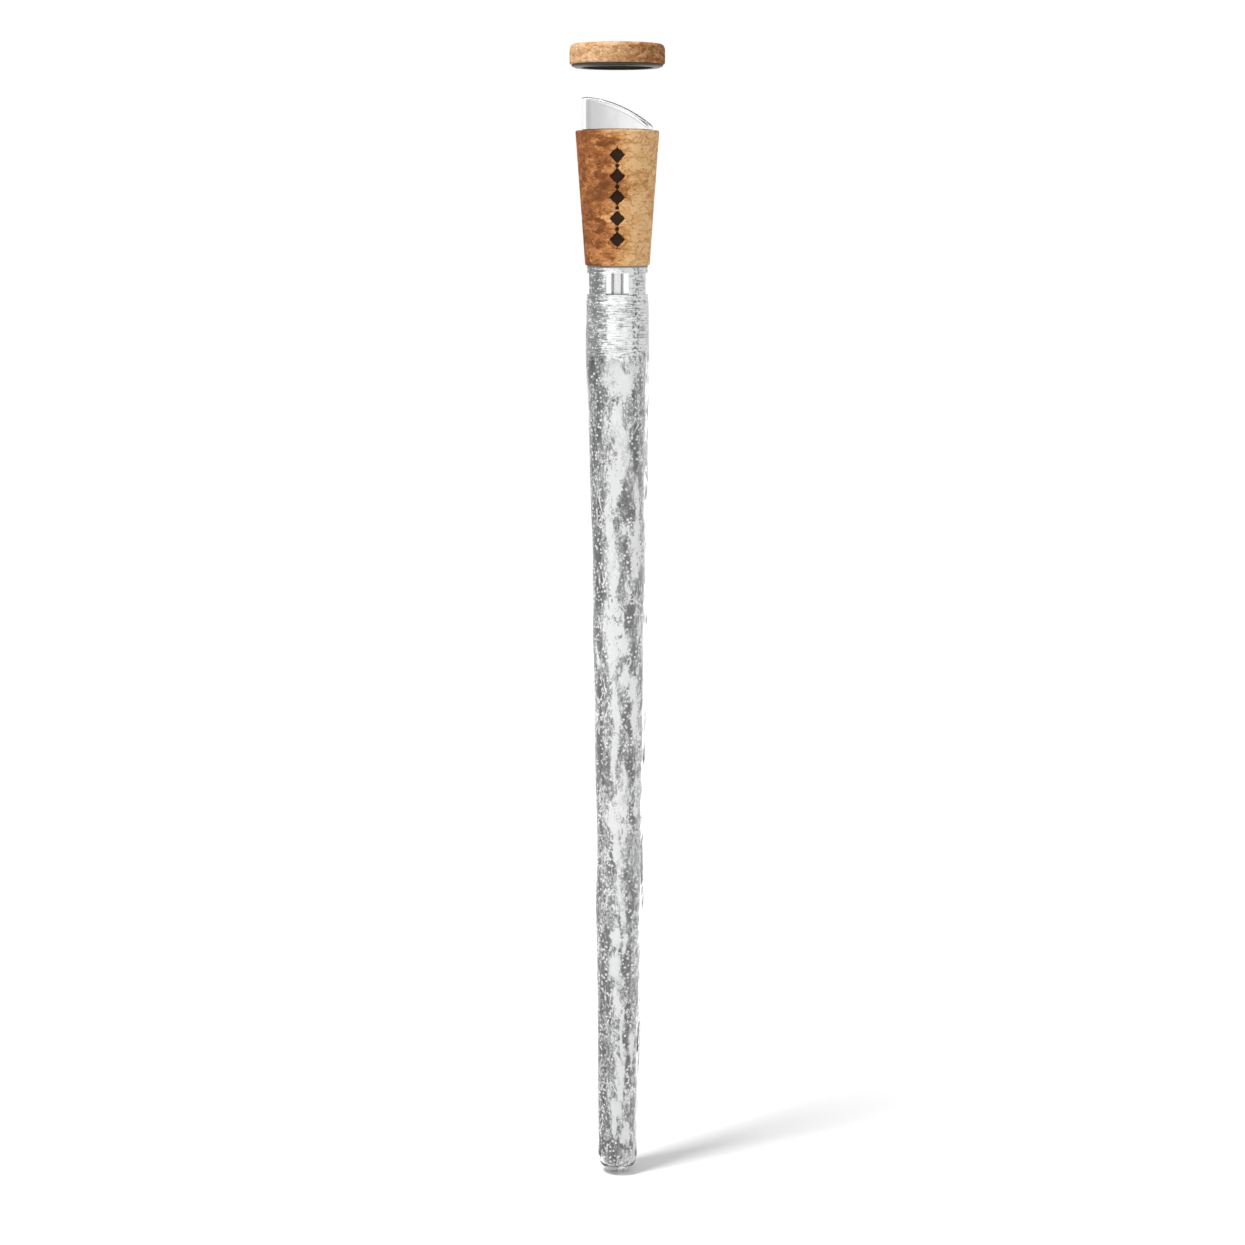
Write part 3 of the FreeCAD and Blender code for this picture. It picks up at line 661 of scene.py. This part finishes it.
def clearAcrylic():
    # Injection-moulded clear acrylic (PMMA) with a wavy, ice-like outside: sharp, glassy edges
    # that go bright where the wall is seen edge-on, small frosted patches left by the mould, and
    # cold fog round the mouth that turns the top milky.
    mat = newMaterial("mouldedClearAcrylic")
    place = addNode(mat, "TexCoord").outputs["Object"]
    patch = noise(mat, mapped(mat, place, (7, 7, 16)), 3, 0.6)
    grain = noise(mat, mapped(mat, place, (0.8, 0.8, 1.4)), 2, 0.6)
    frost = maths(mat, "MULTIPLY", stretched(mat, patch, 0.56, 0.66), stretched(mat, grain, 0.46, 0.6))
    wave = noise(mat, mapped(mat, place, (2.2, 2.2, 4.5)), 2, 0.5)
    bump = addNode(mat, "Bump", {"Height": wave, "Strength": 0.22, "Distance": 0.3 * mm}).outputs["Normal"]
    glass = addNode(mat, "BsdfPrincipled", {"Base Color": "ffffff", "Transmission Weight": 1.0,
                                            "IOR": iceLook["ior"], "Roughness": iceLook["roughness"],
                                            "Normal": bump})
    white = addNode(mat, "BsdfPrincipled", {"Base Color": "f4f5f5", "Roughness": 0.6, "Normal": bump})
    rim = addNode(mat, "Attribute", attribute_name="frost").outputs["Fac"]
    broken = stretched(mat, noise(mat, mapped(mat, place, (1.4, 1.4, 0.7)), 2, 0.6), 0.38, 0.6)
    rim = maths(mat, "MULTIPLY", rim, broken)
    share = maths(mat, "MAXIMUM", maths(mat, "MULTIPLY", frost, iceLook["patchShare"]),
                  maths(mat, "MULTIPLY", rim, iceLook["rimShare"]))
    mix = addNode(mat, "MixShader", {0: share, 1: glass.outputs[0], 2: white.outputs[0]})
    # the fog's pattern includes painted grey shade at one side
    colour, height = foggedPattern(mat, place)
    bump = addNode(mat, "Bump", {"Height": height, "Strength": 0.4, "Distance": 0.2 * mm}).outputs["Normal"]
    foggy = addNode(mat, "BsdfPrincipled", {"Base Color": colour, "Roughness": 0.3, "Normal": bump})
    fog = addNode(mat, "Attribute", attribute_name="fog").outputs["Fac"]
    drift = noise(mat, mapped(mat, place, (2, 2, 2.6)), 3, 0.6)
    fog = maths(mat, "ADD", fog, centred(mat, drift, 1.6))
    fog = maths(mat, "MULTIPLY", stretched(mat, fog, 0.4, 0.62), collarLook["fog"])
    mix = addNode(mat, "MixShader", {0: fog, 1: mix.outputs[0], 2: foggy.outputs[0]})
    return finishMaterial(mat, mix.outputs[0])


gelLook = {
    "white": "fbfcfc", "pale": "e4e5e5", "mid": "abacac", "dark": "767777", "pocket": "4a4b4b",
    "speck": "2b2a28", "roughness": 0.45,
    "dotSize": 1.1,                  # the bubbles' spacing in millimetres
    # how much each layer of the pattern counts for
    "broad": 1.1, "mottle": 0.62, "grit": 1.25, "streak": 0.55, "cloud": 0.6, "pocketDepth": 0.5,
    "level": 0.46,
}


def centred(mat, value, weight):
    # a noise around 0.5 turned into plus and minus, by a weight
    return maths(mat, "MULTIPLY", maths(mat, "SUBTRACT", value, 0.5), weight)


def added(mat, *values):
    total = values[0]
    for value in values[1:]:
        total = maths(mat, "ADD", total, value)
    return total


def frozenGelMaterial():
    # Water-based cooling gel frozen solid: cloudy white where it is full of fine air, grey and
    # clear in the pockets between, with rows of bubbles, thin white cracks and dark specks.
    mat = newMaterial("frozenCoolingGel")
    look = gelLook
    place = addNode(mat, "TexCoord").outputs["Object"]
    cloud = addNode(mat, "Attribute", attribute_name="cloud").outputs["Fac"]
    # the pocket attribute also carries painted shade down two sides
    pocket = addNode(mat, "Attribute", attribute_name="pocket").outputs["Fac"]
    broad = noise(mat, mapped(mat, place, (3.4, 3.4, 11)), 3, 0.6, 0.6)
    mottle = noise(mat, mapped(mat, place, (1.15, 1.15, 2.2)), 5, 0.72, 0.9)
    grit = noise(mat, mapped(mat, place, (0.28, 0.28, 0.36)), 2, 0.6)
    streak = noise(mat, mapped(mat, place, (0.45, 0.45, 5)), 3, 0.6, 0.2)
    crisp = stretched(mat, mottle, 0.38, 0.62)
    tone = added(mat, centred(mat, broad, look["broad"]), centred(mat, crisp, look["mottle"]),
                 centred(mat, grit, look["grit"]), centred(mat, streak, look["streak"]),
                 maths(mat, "MULTIPLY", cloud, look["cloud"]), look["level"])
    tone = maths(mat, "SUBTRACT", tone, maths(mat, "MULTIPLY", pocket, look["pocketDepth"]))
    stops = [(0.04, look["pocket"]), (0.24, look["dark"]), (0.46, look["mid"]), (0.66, look["pale"]),
             (0.84, look["white"])]
    colour = addNode(mat, "ValToRGB", {"Fac": tone}, stops=stops).outputs["Color"]
    # bubbles: small round cells kept only near their middles, thickest in the clear pockets
    dots = addNode(mat, "TexVoronoi", {"Vector": mapped(mat, place, (look["dotSize"],) * 3), "Scale": 1,
                                       "Randomness": 0.85})
    bubbles = stretched(mat, dots.outputs["Distance"], 0.37, 0.27)
    where = stretched(mat, noise(mat, mapped(mat, place, (2.6, 2.6, 6)), 2, 0.5), 0.45, 0.55)
    where = maths(mat, "MAXIMUM", where, maths(mat, "MULTIPLY", pocket, 0.8))
    bubbles = maths(mat, "MULTIPLY", bubbles, where)
    colour = blended(mat, bubbles, colour, "ffffff")
    # cracks: where a slow noise passes its middle value
    drift = noise(mat, mapped(mat, place, (4.5, 4.5, 12)), 4, 0.55, 0.6)
    crack = stretched(mat, maths(mat, "ABSOLUTE", maths(mat, "SUBTRACT", drift, 0.5)), 0.016, 0.006)
    here = stretched(mat, noise(mat, mapped(mat, place, (7, 7, 15), (3, 1, 2)), 1, 0.5), 0.42, 0.5)
    colour = blended(mat, maths(mat, "MULTIPLY", crack, here), colour, "ffffff")
    # specks: dark flecks in small clusters, tallest up the icicle
    fleck = noise(mat, mapped(mat, place, (0.6, 0.6, 1.5), (5, 2, 7)), 2, 0.6)
    cluster = stretched(mat, noise(mat, mapped(mat, place, (4, 4, 10), (1, 8, 3)), 1, 0.5), 0.5, 0.6)
    specks = maths(mat, "MULTIPLY", stretched(mat, fleck, 0.6, 0.66), cluster)
    colour = blended(mat, maths(mat, "MULTIPLY", specks, 0.8), colour, look["speck"])
    bump = addNode(mat, "Bump", {"Height": mottle, "Strength": 0.25, "Distance": 0.25 * mm}).outputs["Normal"]
    shader = addNode(mat, "BsdfPrincipled", {"Base Color": colour, "Roughness": look["roughness"],
                                             "Normal": bump})
    return finishMaterial(mat, shader.outputs[0])


corkLook = {
    "pale": "f0c48e", "light": "dfa96d", "golden": "bf8450", "brown": "9a6035", "deep": "6f4223",
    "crack": "8a4a22", "burnt": "1c0b05",
    "flake": (3.4, 3.4, 2.0), "grain": (0.42, 0.42, 0.3),      # sizes in millimetres
    # painted shade towards -X and painted light towards +X: from where to where in millimetres, and by how
    # much
    "leftEnd": -5.0, "rightEnd": 5.0, "left": -0.3, "right": 0.44,
    "level": 0.17, "roughness": 0.8,
}


def pressedCork(name, look, fine=1.0, burnt=False):
    # Agglomerated cork, moulded from ground granules and resin, then turned: flattened flakes of
    # golden bark, each its own tone, parted by dark broken seams, with small pores between.
    mat = newMaterial(name)
    place = addNode(mat, "TexCoord").outputs["Object"]
    flakeSize = [k * fine for k in look["flake"]]
    grainSize = [k * fine for k in look["grain"]]
    warp = noise(mat, mapped(mat, place, (2.1 * fine, 2.1 * fine, 1.3 * fine)), 4, 0.62, output="Color")
    warp = addNode(mat, "VectorMath", {0: warp, 1: (1.1, 1.1, 1.1)}, operation="MULTIPLY").outputs[0]
    bent = addNode(mat, "VectorMath", {0: mapped(mat, place, flakeSize), 1: warp}, operation="ADD").outputs[0]
    cells = addNode(mat, "TexVoronoi", {"Vector": bent, "Scale": 1, "Randomness": 1})
    edges = addNode(mat, "TexVoronoi", {"Vector": bent, "Scale": 1, "Randomness": 1},
                    feature="DISTANCE_TO_EDGE")
    smallFlake = mapped(mat, place, [k * 0.4 for k in flakeSize])
    small = addNode(mat, "VectorMath", {0: smallFlake, 1: warp}, operation="ADD")
    smallCells = addNode(mat, "TexVoronoi", {"Vector": small.outputs[0], "Scale": 1, "Randomness": 1})
    tone = addNode(mat, "SeparateColor", {"Color": cells.outputs["Color"]}).outputs["Red"]
    smallTone = addNode(mat, "SeparateColor", {"Color": smallCells.outputs["Color"]}).outputs["Green"]
    broad = noise(mat, mapped(mat, place, (9, 9, 7)), 2, 0.5)
    grain = noise(mat, mapped(mat, place, grainSize), 3, 0.65)
    fibre = noise(mat, mapped(mat, place, (1.5 * fine, 1.5 * fine, 0.42 * fine)), 5, 0.66, 1.6)
    # painted light and shade across X, with a ragged edge: darker towards one side, lighter towards the other
    across = addNode(mat, "SeparateXYZ", {"Vector": place}).outputs["X"]
    ragged = maths(mat, "ADD", across, centred(mat, broad, 8 * mm))
    paintedSideShading = stretched(mat, ragged, look["leftEnd"] * mm, look["rightEnd"] * mm, look["left"], look["right"])
    mix = added(mat, maths(mat, "MULTIPLY", tone, 0.36), maths(mat, "MULTIPLY", smallTone, 0.25),
                centred(mat, broad, 0.35), centred(mat, grain, 0.7), centred(mat, fibre, 0.9), paintedSideShading,
                look["level"])
    stops = [(0.05, look["deep"]), (0.28, look["brown"]), (0.5, look["golden"]), (0.74, look["light"]),
             (0.98, look["pale"])]
    colour = addNode(mat, "ValToRGB", {"Fac": mix}, stops=stops).outputs["Color"]
    # seams between flakes, broken up so that only parts of each are dark
    seam = stretched(mat, edges.outputs["Distance"], 0.1, 0.03)
    kept = stretched(mat, noise(mat, mapped(mat, place, (1.7, 1.7, 1.0), (4, 0, 0)), 2, 0.6), 0.42, 0.56)
    seam = maths(mat, "MULTIPLY", seam, kept)
    colour = blended(mat, maths(mat, "MULTIPLY", seam, 0.5), colour, look["crack"])
    pore = noise(mat, mapped(mat, place, (0.75 * fine, 0.75 * fine, 0.4 * fine), (0, 6, 0)), 2, 0.5)
    pore = stretched(mat, pore, 0.65, 0.72)
    colour = blended(mat, maths(mat, "MULTIPLY", pore, 0.6), colour, look["crack"])
    height = maths(mat, "SUBTRACT", fibre, maths(mat, "MULTIPLY", maths(mat, "MAXIMUM", seam, pore), 0.12))
    height = maths(mat, "ADD", height, maths(mat, "MULTIPLY", grain, 0.35))
    if burnt:
        mark = addNode(mat, "Attribute", attribute_name="burnt").outputs["Fac"]
        char = stretched(mat, maths(mat, "ADD", mark, centred(mat, grain, 0.35)), 0.42, 0.58)
        colour = blended(mat, maths(mat, "MULTIPLY", char, 0.97), colour, look["burnt"])
    bump = addNode(mat, "Bump", {"Height": height, "Strength": 0.6, "Distance": 0.22 * mm}).outputs["Normal"]
    shader = addNode(mat, "BsdfPrincipled", {"Base Color": colour, "Roughness": look["roughness"],
                                             "Normal": bump, "Specular IOR Level": 0.15})
    return finishMaterial(mat, shader.outputs[0])


# the colours: a painted dark line down the inner wall at -X, painted shade across the inner face from grey at
# -X to clear at +X, and a painted shadow line under the rim
spoutLook = {"edge": "8f8f8f", "shade": "c6c6c6", "light": "ffffff", "paintedRimShadow": "5f5f5f", "ior": 1.49,
             "roughness": 0.015}


def clearSpoutMaterial():
    # Injection-moulded clear copolyester: glassy. Its inner face, seen where one looks through both walls,
    # carries painted shade, grey towards -X and clear towards +X, with a painted dark line down its -X
    # wall and a painted shadow line just under the rim.
    mat = newMaterial("mouldedClearCopolyester")
    look = spoutLook
    place = addNode(mat, "TexCoord").outputs["Object"]
    inside = addNode(mat, "Attribute", attribute_name="inside").outputs["Fac"]
    step = addNode(mat, "Attribute", attribute_name="step").outputs["Fac"]
    across = addNode(mat, "SeparateXYZ", {"Vector": place}).outputs["X"]
    # painted shade across the inner face, darker towards -X, and a painted dark line down its -X wall
    shade = blended(mat, stretched(mat, across, -6 * mm, 7 * mm), look["shade"], look["light"])
    shade = blended(mat, stretched(mat, across, -7.0 * mm, -7.9 * mm), shade, look["edge"])
    tint = blended(mat, inside, "ffffff", shade)
    # the painted shadow line just under the rim
    tint = blended(mat, step, tint, look["paintedRimShadow"])
    ripple = noise(mat, mapped(mat, place, (6, 6, 6)), 1, 0.5)
    bump = addNode(mat, "Bump", {"Height": ripple, "Strength": 0.1, "Distance": 0.2 * mm}).outputs["Normal"]
    shader = addNode(mat, "BsdfPrincipled", {"Base Color": tint, "Transmission Weight": 1.0,
                                             "IOR": look["ior"], "Roughness": look["roughness"],
                                             "Normal": bump})
    return finishMaterial(mat, shader.outputs[0])


collarLook = {
    "shade": "6b6c6c", "grey": "9c9d9d", "pale": "dcdddd", "white": "fafbfb",
    # painted grey shade across X: where it starts and ends in millimetres, and how deep
    "paintedShadeFrom": -9.0, "paintedShadeTo": -2.0, "paintedShadeDepth": 0.5, "fog": 0.92,
    "opening": 3.0,                  # half the width of the openings, whose frames stay pale
    "chain": (3.6, 4.4, 5.4, 6.2),   # dark specks up one side: fading in, then out, along X
}


def foggedPattern(mat, place):
    # Cold fog on clear acrylic: pale patches, short level dashes, fine drops, painted grey shade at one
    # side, and pale frames round the openings. Gives colour and height.
    look = collarLook
    cloud = noise(mat, mapped(mat, place, (2.8, 2.8, 4.2)), 3, 0.6, 0.4)
    grit = noise(mat, mapped(mat, place, (0.5, 0.5, 0.42)), 3, 0.65)
    dashes = noise(mat, mapped(mat, place, (2.6, 2.6, 0.32)), 3, 0.6)
    parts = addNode(mat, "SeparateXYZ", {"Vector": place}).outputs
    across = parts["X"]
    near = [stretched(mat, maths(mat, "ABSOLUTE", parts[axis]), (look["opening"] + 2) * mm,
                      (look["opening"] + 0.3) * mm) for axis in "XY"]
    paleFrame = maths(mat, "MAXIMUM", near[0], near[1])
    # painted grey shade on the -X side, its edges ragged, weaker near the openings
    ragged = maths(mat, "ADD", across, centred(mat, cloud, 5 * mm))
    paintedShadeIn = stretched(mat, ragged, look["paintedShadeFrom"] * mm, (look["paintedShadeFrom"] + 0.6) * mm)
    paintedShadeOut = stretched(mat, ragged, look["paintedShadeTo"] * mm, (look["paintedShadeTo"] - 1.2) * mm)
    dark = maths(mat, "MULTIPLY", paintedShadeIn, paintedShadeOut)
    dark = maths(mat, "MULTIPLY", dark, maths(mat, "SUBTRACT", 1.0, maths(mat, "MULTIPLY", near[0], 0.6)))
    a, b, c, d = (k * mm for k in look["chain"])
    chain = maths(mat, "MULTIPLY", stretched(mat, across, a, b), stretched(mat, across, d, c))
    speck = stretched(mat, noise(mat, mapped(mat, place, (0.7, 0.7, 0.9), (2, 5, 1)), 2, 0.6), 0.5, 0.62)
    tone = added(mat, 0.61, centred(mat, cloud, 1.0), centred(mat, grit, 0.8), centred(mat, dashes, 1.9),
                 maths(mat, "MULTIPLY", paleFrame, 0.04))
    tone = maths(mat, "SUBTRACT", tone, maths(mat, "MULTIPLY", dark, look["paintedShadeDepth"]))
    tone = maths(mat, "SUBTRACT", tone, maths(mat, "MULTIPLY", maths(mat, "MULTIPLY", chain, speck), 0.6))
    stops = [(0.05, look["shade"]), (0.32, look["grey"]), (0.55, look["pale"]), (0.75, look["white"])]
    colour = addNode(mat, "ValToRGB", {"Fac": tone}, stops=stops).outputs["Color"]
    dots = addNode(mat, "TexVoronoi", {"Vector": mapped(mat, place, (0.9, 0.9, 0.9)), "Scale": 1})
    drops = stretched(mat, dots.outputs["Distance"], 0.28, 0.16)
    colour = blended(mat, maths(mat, "MULTIPLY", drops, 0.8), colour, "ffffff")
    return colour, maths(mat, "ADD", grit, drops)


def clearCollarMaterial():
    # injection-moulded clear acrylic, its walls fogged by the cold: milky, with glints of clear
    mat = newMaterial("foggedClearAcrylic")
    place = addNode(mat, "TexCoord").outputs["Object"]
    # the fog's pattern includes painted grey shade at one side
    colour, height = foggedPattern(mat, place)
    bump = addNode(mat, "Bump", {"Height": height, "Strength": 0.4, "Distance": 0.2 * mm}).outputs["Normal"]
    glass = addNode(mat, "BsdfPrincipled", {"Base Color": "ffffff", "Transmission Weight": 1.0, "IOR": 1.49,
                                            "Roughness": 0.08, "Normal": bump})
    fog = addNode(mat, "BsdfPrincipled", {"Base Color": colour, "Roughness": 0.3, "Normal": bump})
    mix = addNode(mat, "MixShader", {0: collarLook["fog"], 1: glass.outputs[0], 2: fog.outputs[0]})
    return finishMaterial(mat, mix.outputs[0])


def mouldedPlastic(name, base, other, roughness, grainSize=0.6, depth=0.05):
    # moulded plastic or rubber: a faint cloudiness in the colour and a fine, even mould texture
    mat = newMaterial(name)
    place = addNode(mat, "TexCoord").outputs["Object"]
    cloud = noise(mat, mapped(mat, place, (5, 5, 5)), 3, 0.6)
    grain = noise(mat, mapped(mat, place, (grainSize,) * 3), 2, 0.6)
    colour = blended(mat, stretched(mat, cloud, 0.35, 0.65), base, other)
    rough = stretched(mat, grain, 0.3, 0.7, roughness - 0.06, roughness + 0.08)
    bump = addNode(mat, "Bump", {"Height": grain, "Strength": 0.3, "Distance": depth * mm}).outputs["Normal"]
    shader = addNode(mat, "BsdfPrincipled", {"Base Color": colour, "Roughness": rough, "Normal": bump})
    return finishMaterial(mat, shader.outputs[0])


def clearTubeMaterial():
    # extruded fluoropolymer (FEP) tube: clear, low index, with fine lines left along its length
    mat = newMaterial("extrudedClearTube")
    place = addNode(mat, "TexCoord").outputs["Object"]
    lines = noise(mat, mapped(mat, place, (0.25, 0.25, 30)), 2, 0.5)
    colour = blended(mat, stretched(mat, lines, 0.4, 0.6), "f0f1f1", "fdfdfd")
    bump = addNode(mat, "Bump", {"Height": lines, "Strength": 0.2, "Distance": 0.05 * mm}).outputs["Normal"]
    shader = addNode(mat, "BsdfPrincipled", {"Base Color": colour, "Transmission Weight": 1.0, "IOR": 1.34,
                                             "Roughness": 0.2, "Normal": bump})
    return finishMaterial(mat, shader.outputs[0])


# making the pieces and dressing them

shell = buildShell()
frozenGel = buildGel()
print("icicle made")
cork = buildCork()
corkCap = buildCap()
liner = buildLiner()
capSeal = buildSeal()
print("cork and cap made")
spout = buildSpout()
tipBush = buildBush()
print("spout and tip bush made")

dress(shell, clearAcrylic())
dress(frozenGel, frozenGelMaterial())
dress(cork, pressedCork("pressedCorkStopper", corkLook, burnt=True))
# the cap's painted light and shade run the other way: lighter towards -X, painted shade towards +X
capLook = dict(corkLook, pale="e6c49c", light="d4a97b", golden="b98759",
               leftEnd=-2.0, rightEnd=10.0, left=0.08, right=-0.32, level=0.35)
dress(corkCap, pressedCork("fineCorkCap", capLook, fine=0.45))
dress(spout, clearSpoutMaterial())
blackPlastic = mouldedPlastic("mouldedDarkPolypropylene", "322c24", "403a31", 0.6)
rubber = mouldedPlastic("mouldedBlackRubber", "1d1b18", "292622", 0.4)
silicone = mouldedPlastic("mouldedGreySilicone", "6f7070", "8a8b8b", 0.5)
paleSilicone = mouldedPlastic("mouldedPaleSilicone", "eceded", "fafbfb", 0.35)
whitePlastic = mouldedPlastic("mouldedWhitePolypropylene", "eeefef", "f6f7f7", 0.35)
tube = clearTubeMaterial()
dress(liner, blackPlastic)
dress(capSeal, rubber)
dress(tipBush, silicone)

carried = {
    "clear_shell": clearCollarMaterial(), "clear_tube": tube, "grey_silicone": silicone,
    "white_plastic": whitePlastic, "black_rubber": rubber, "dark_plastic": blackPlastic,
}


def dressCarried():
    # every node that came with the frame and still shows takes the material of its slot
    for name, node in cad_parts.items():
        if node.hide_render:
            continue
        for index, old in enumerate(node.material_slots):
            slotName = old.material.name.split(".")[0] if old.material else ""
            for key, mat in carried.items():
                if key in slotName:
                    node.material_slots[index].material = paleSilicone if "seal_ring" in name else mat
        print("carried over:", name, [m.material.name for m in node.material_slots])


dressCarried()


# stage: floor, world, lamps and camera

stage = {
    "floorSize": 6.0, "floorCells": 8, "worldForLight": 0.45,
    # the floor's own light: under the object, away from it, and how far away that is
    "floorGlow": 0.1, "glowAway": 0.66, "glowReach": 0.5,
    "keyPlace": (-0.402, -0.309, 1.09), "keySize": 0.26, "keyPower": 10.0,
    "fillPlace": (0.5, -1.1, 0.45), "fillSize": 0.9, "fillPower": 1.6,
    "aim": (0, 0, 0.12),
    "cameraPlace": (0.00135, -0.700, 0.262), "cameraPitch": 81.24, "lens": 76.1, "sensor": 36,
}


def buildFloor():
    # a large flat sheet at the height of the tip, a square grid of a few faces
    size, cells = stage["floorSize"] / 2, stage["floorCells"]
    x, y = np.meshgrid(*[np.linspace(-size, size, cells + 1)] * 2)
    verts = np.stack([x, y, 0 * x], -1).reshape(-1, 3)
    i, j = np.meshgrid(np.arange(cells), np.arange(cells))
    first = (j * (cells + 1) + i).ravel()
    faces = np.stack([first, first + 1, first + cells + 2, first + cells + 1], -1)
    mesh = bpy.data.meshes.new("floor")
    mesh.from_pydata(verts.tolist(), [], faces.tolist())
    floor = bpy.data.objects.new("floor", mesh)
    bpy.context.scene.collection.objects.link(floor)
    mat = newMaterial("paleMattPaper")
    place = addNode(mat, "TexCoord").outputs["Object"]
    tooth = noise(mat, mapped(mat, place, (3, 3, 3)), 3, 0.6)
    colour = blended(mat, tooth, "fafafa", "ffffff")
    plain = addNode(mat, "BsdfDiffuse", {"Color": colour})
    path = addNode(mat, "LightPath")
    seen = maths(mat, "MAXIMUM", path.outputs["Is Camera Ray"], path.outputs["Is Glossy Ray"])
    seen = maths(mat, "MAXIMUM", seen, path.outputs["Is Transmission Ray"])
    # the paper's own light grows with the distance from the object, up to an even white, as in a
    # light tent, and stays low under the object so that its shadow shows
    away = addNode(mat, "VectorMath", {0: place}, operation="LENGTH").outputs["Value"]
    glow = stretched(mat, away, 0.0, stage["glowReach"], stage["floorGlow"], stage["glowAway"])
    light = addNode(mat, "Emission", {"Color": "ffffff", "Strength": maths(mat, "MULTIPLY", glow, seen)})
    both = addNode(mat, "AddShader", {0: plain.outputs[0], 1: light.outputs[0]})
    finishMaterial(mat, both.outputs[0])
    dress(floor, mat)


def buildWorld():
    # white where it is seen, straight on or through the clear parts, and softer as a light
    world = bpy.data.worlds.new("lightTent")
    bpy.context.scene.world = world
    world.use_nodes = True
    world.node_tree.nodes.clear()
    path = addNode(world, "LightPath")
    seen = maths(world, "MAXIMUM", path.outputs["Is Camera Ray"], path.outputs["Is Glossy Ray"])
    seen = maths(world, "MAXIMUM", seen, path.outputs["Is Transmission Ray"])
    strength = stretched(world, seen, 0, 1, stage["worldForLight"], 1.0)
    back = addNode(world, "Background", {"Color": "ffffff", "Strength": strength})
    addNode(world, "OutputWorld", {"Surface": back.outputs[0]})


def addLamp(name, place, size, power):
    data = bpy.data.lights.new(name, "AREA")
    data.shape = "DISK"
    data.size = size
    data.energy = power
    lamp = bpy.data.objects.new(name, data)
    bpy.context.scene.collection.objects.link(lamp)
    lamp.location = place
    aim = Vector(stage["aim"]) - Vector(place)
    lamp.rotation_euler = aim.to_track_quat("-Z", "Y").to_euler()
    lamp.visible_transmission = False
    lamp.visible_glossy = True


def buildCamera():
    data = bpy.data.cameras.new("camera")
    data.lens = stage["lens"]
    data.sensor_width = stage["sensor"]
    camera = bpy.data.objects.new("camera", data)
    bpy.context.scene.collection.objects.link(camera)
    camera.location = stage["cameraPlace"]
    camera.rotation_euler = (math.radians(stage["cameraPitch"]), 0, 0)
    bpy.context.scene.camera = camera


buildFloor()
buildWorld()
addLamp("keyLight", stage["keyPlace"], stage["keySize"], stage["keyPower"])
addLamp("fillLight", stage["fillPlace"], stage["fillSize"], stage["fillPower"])
buildCamera()
bpy.context.scene.view_settings.view_transform = "Standard"
print("stage set")
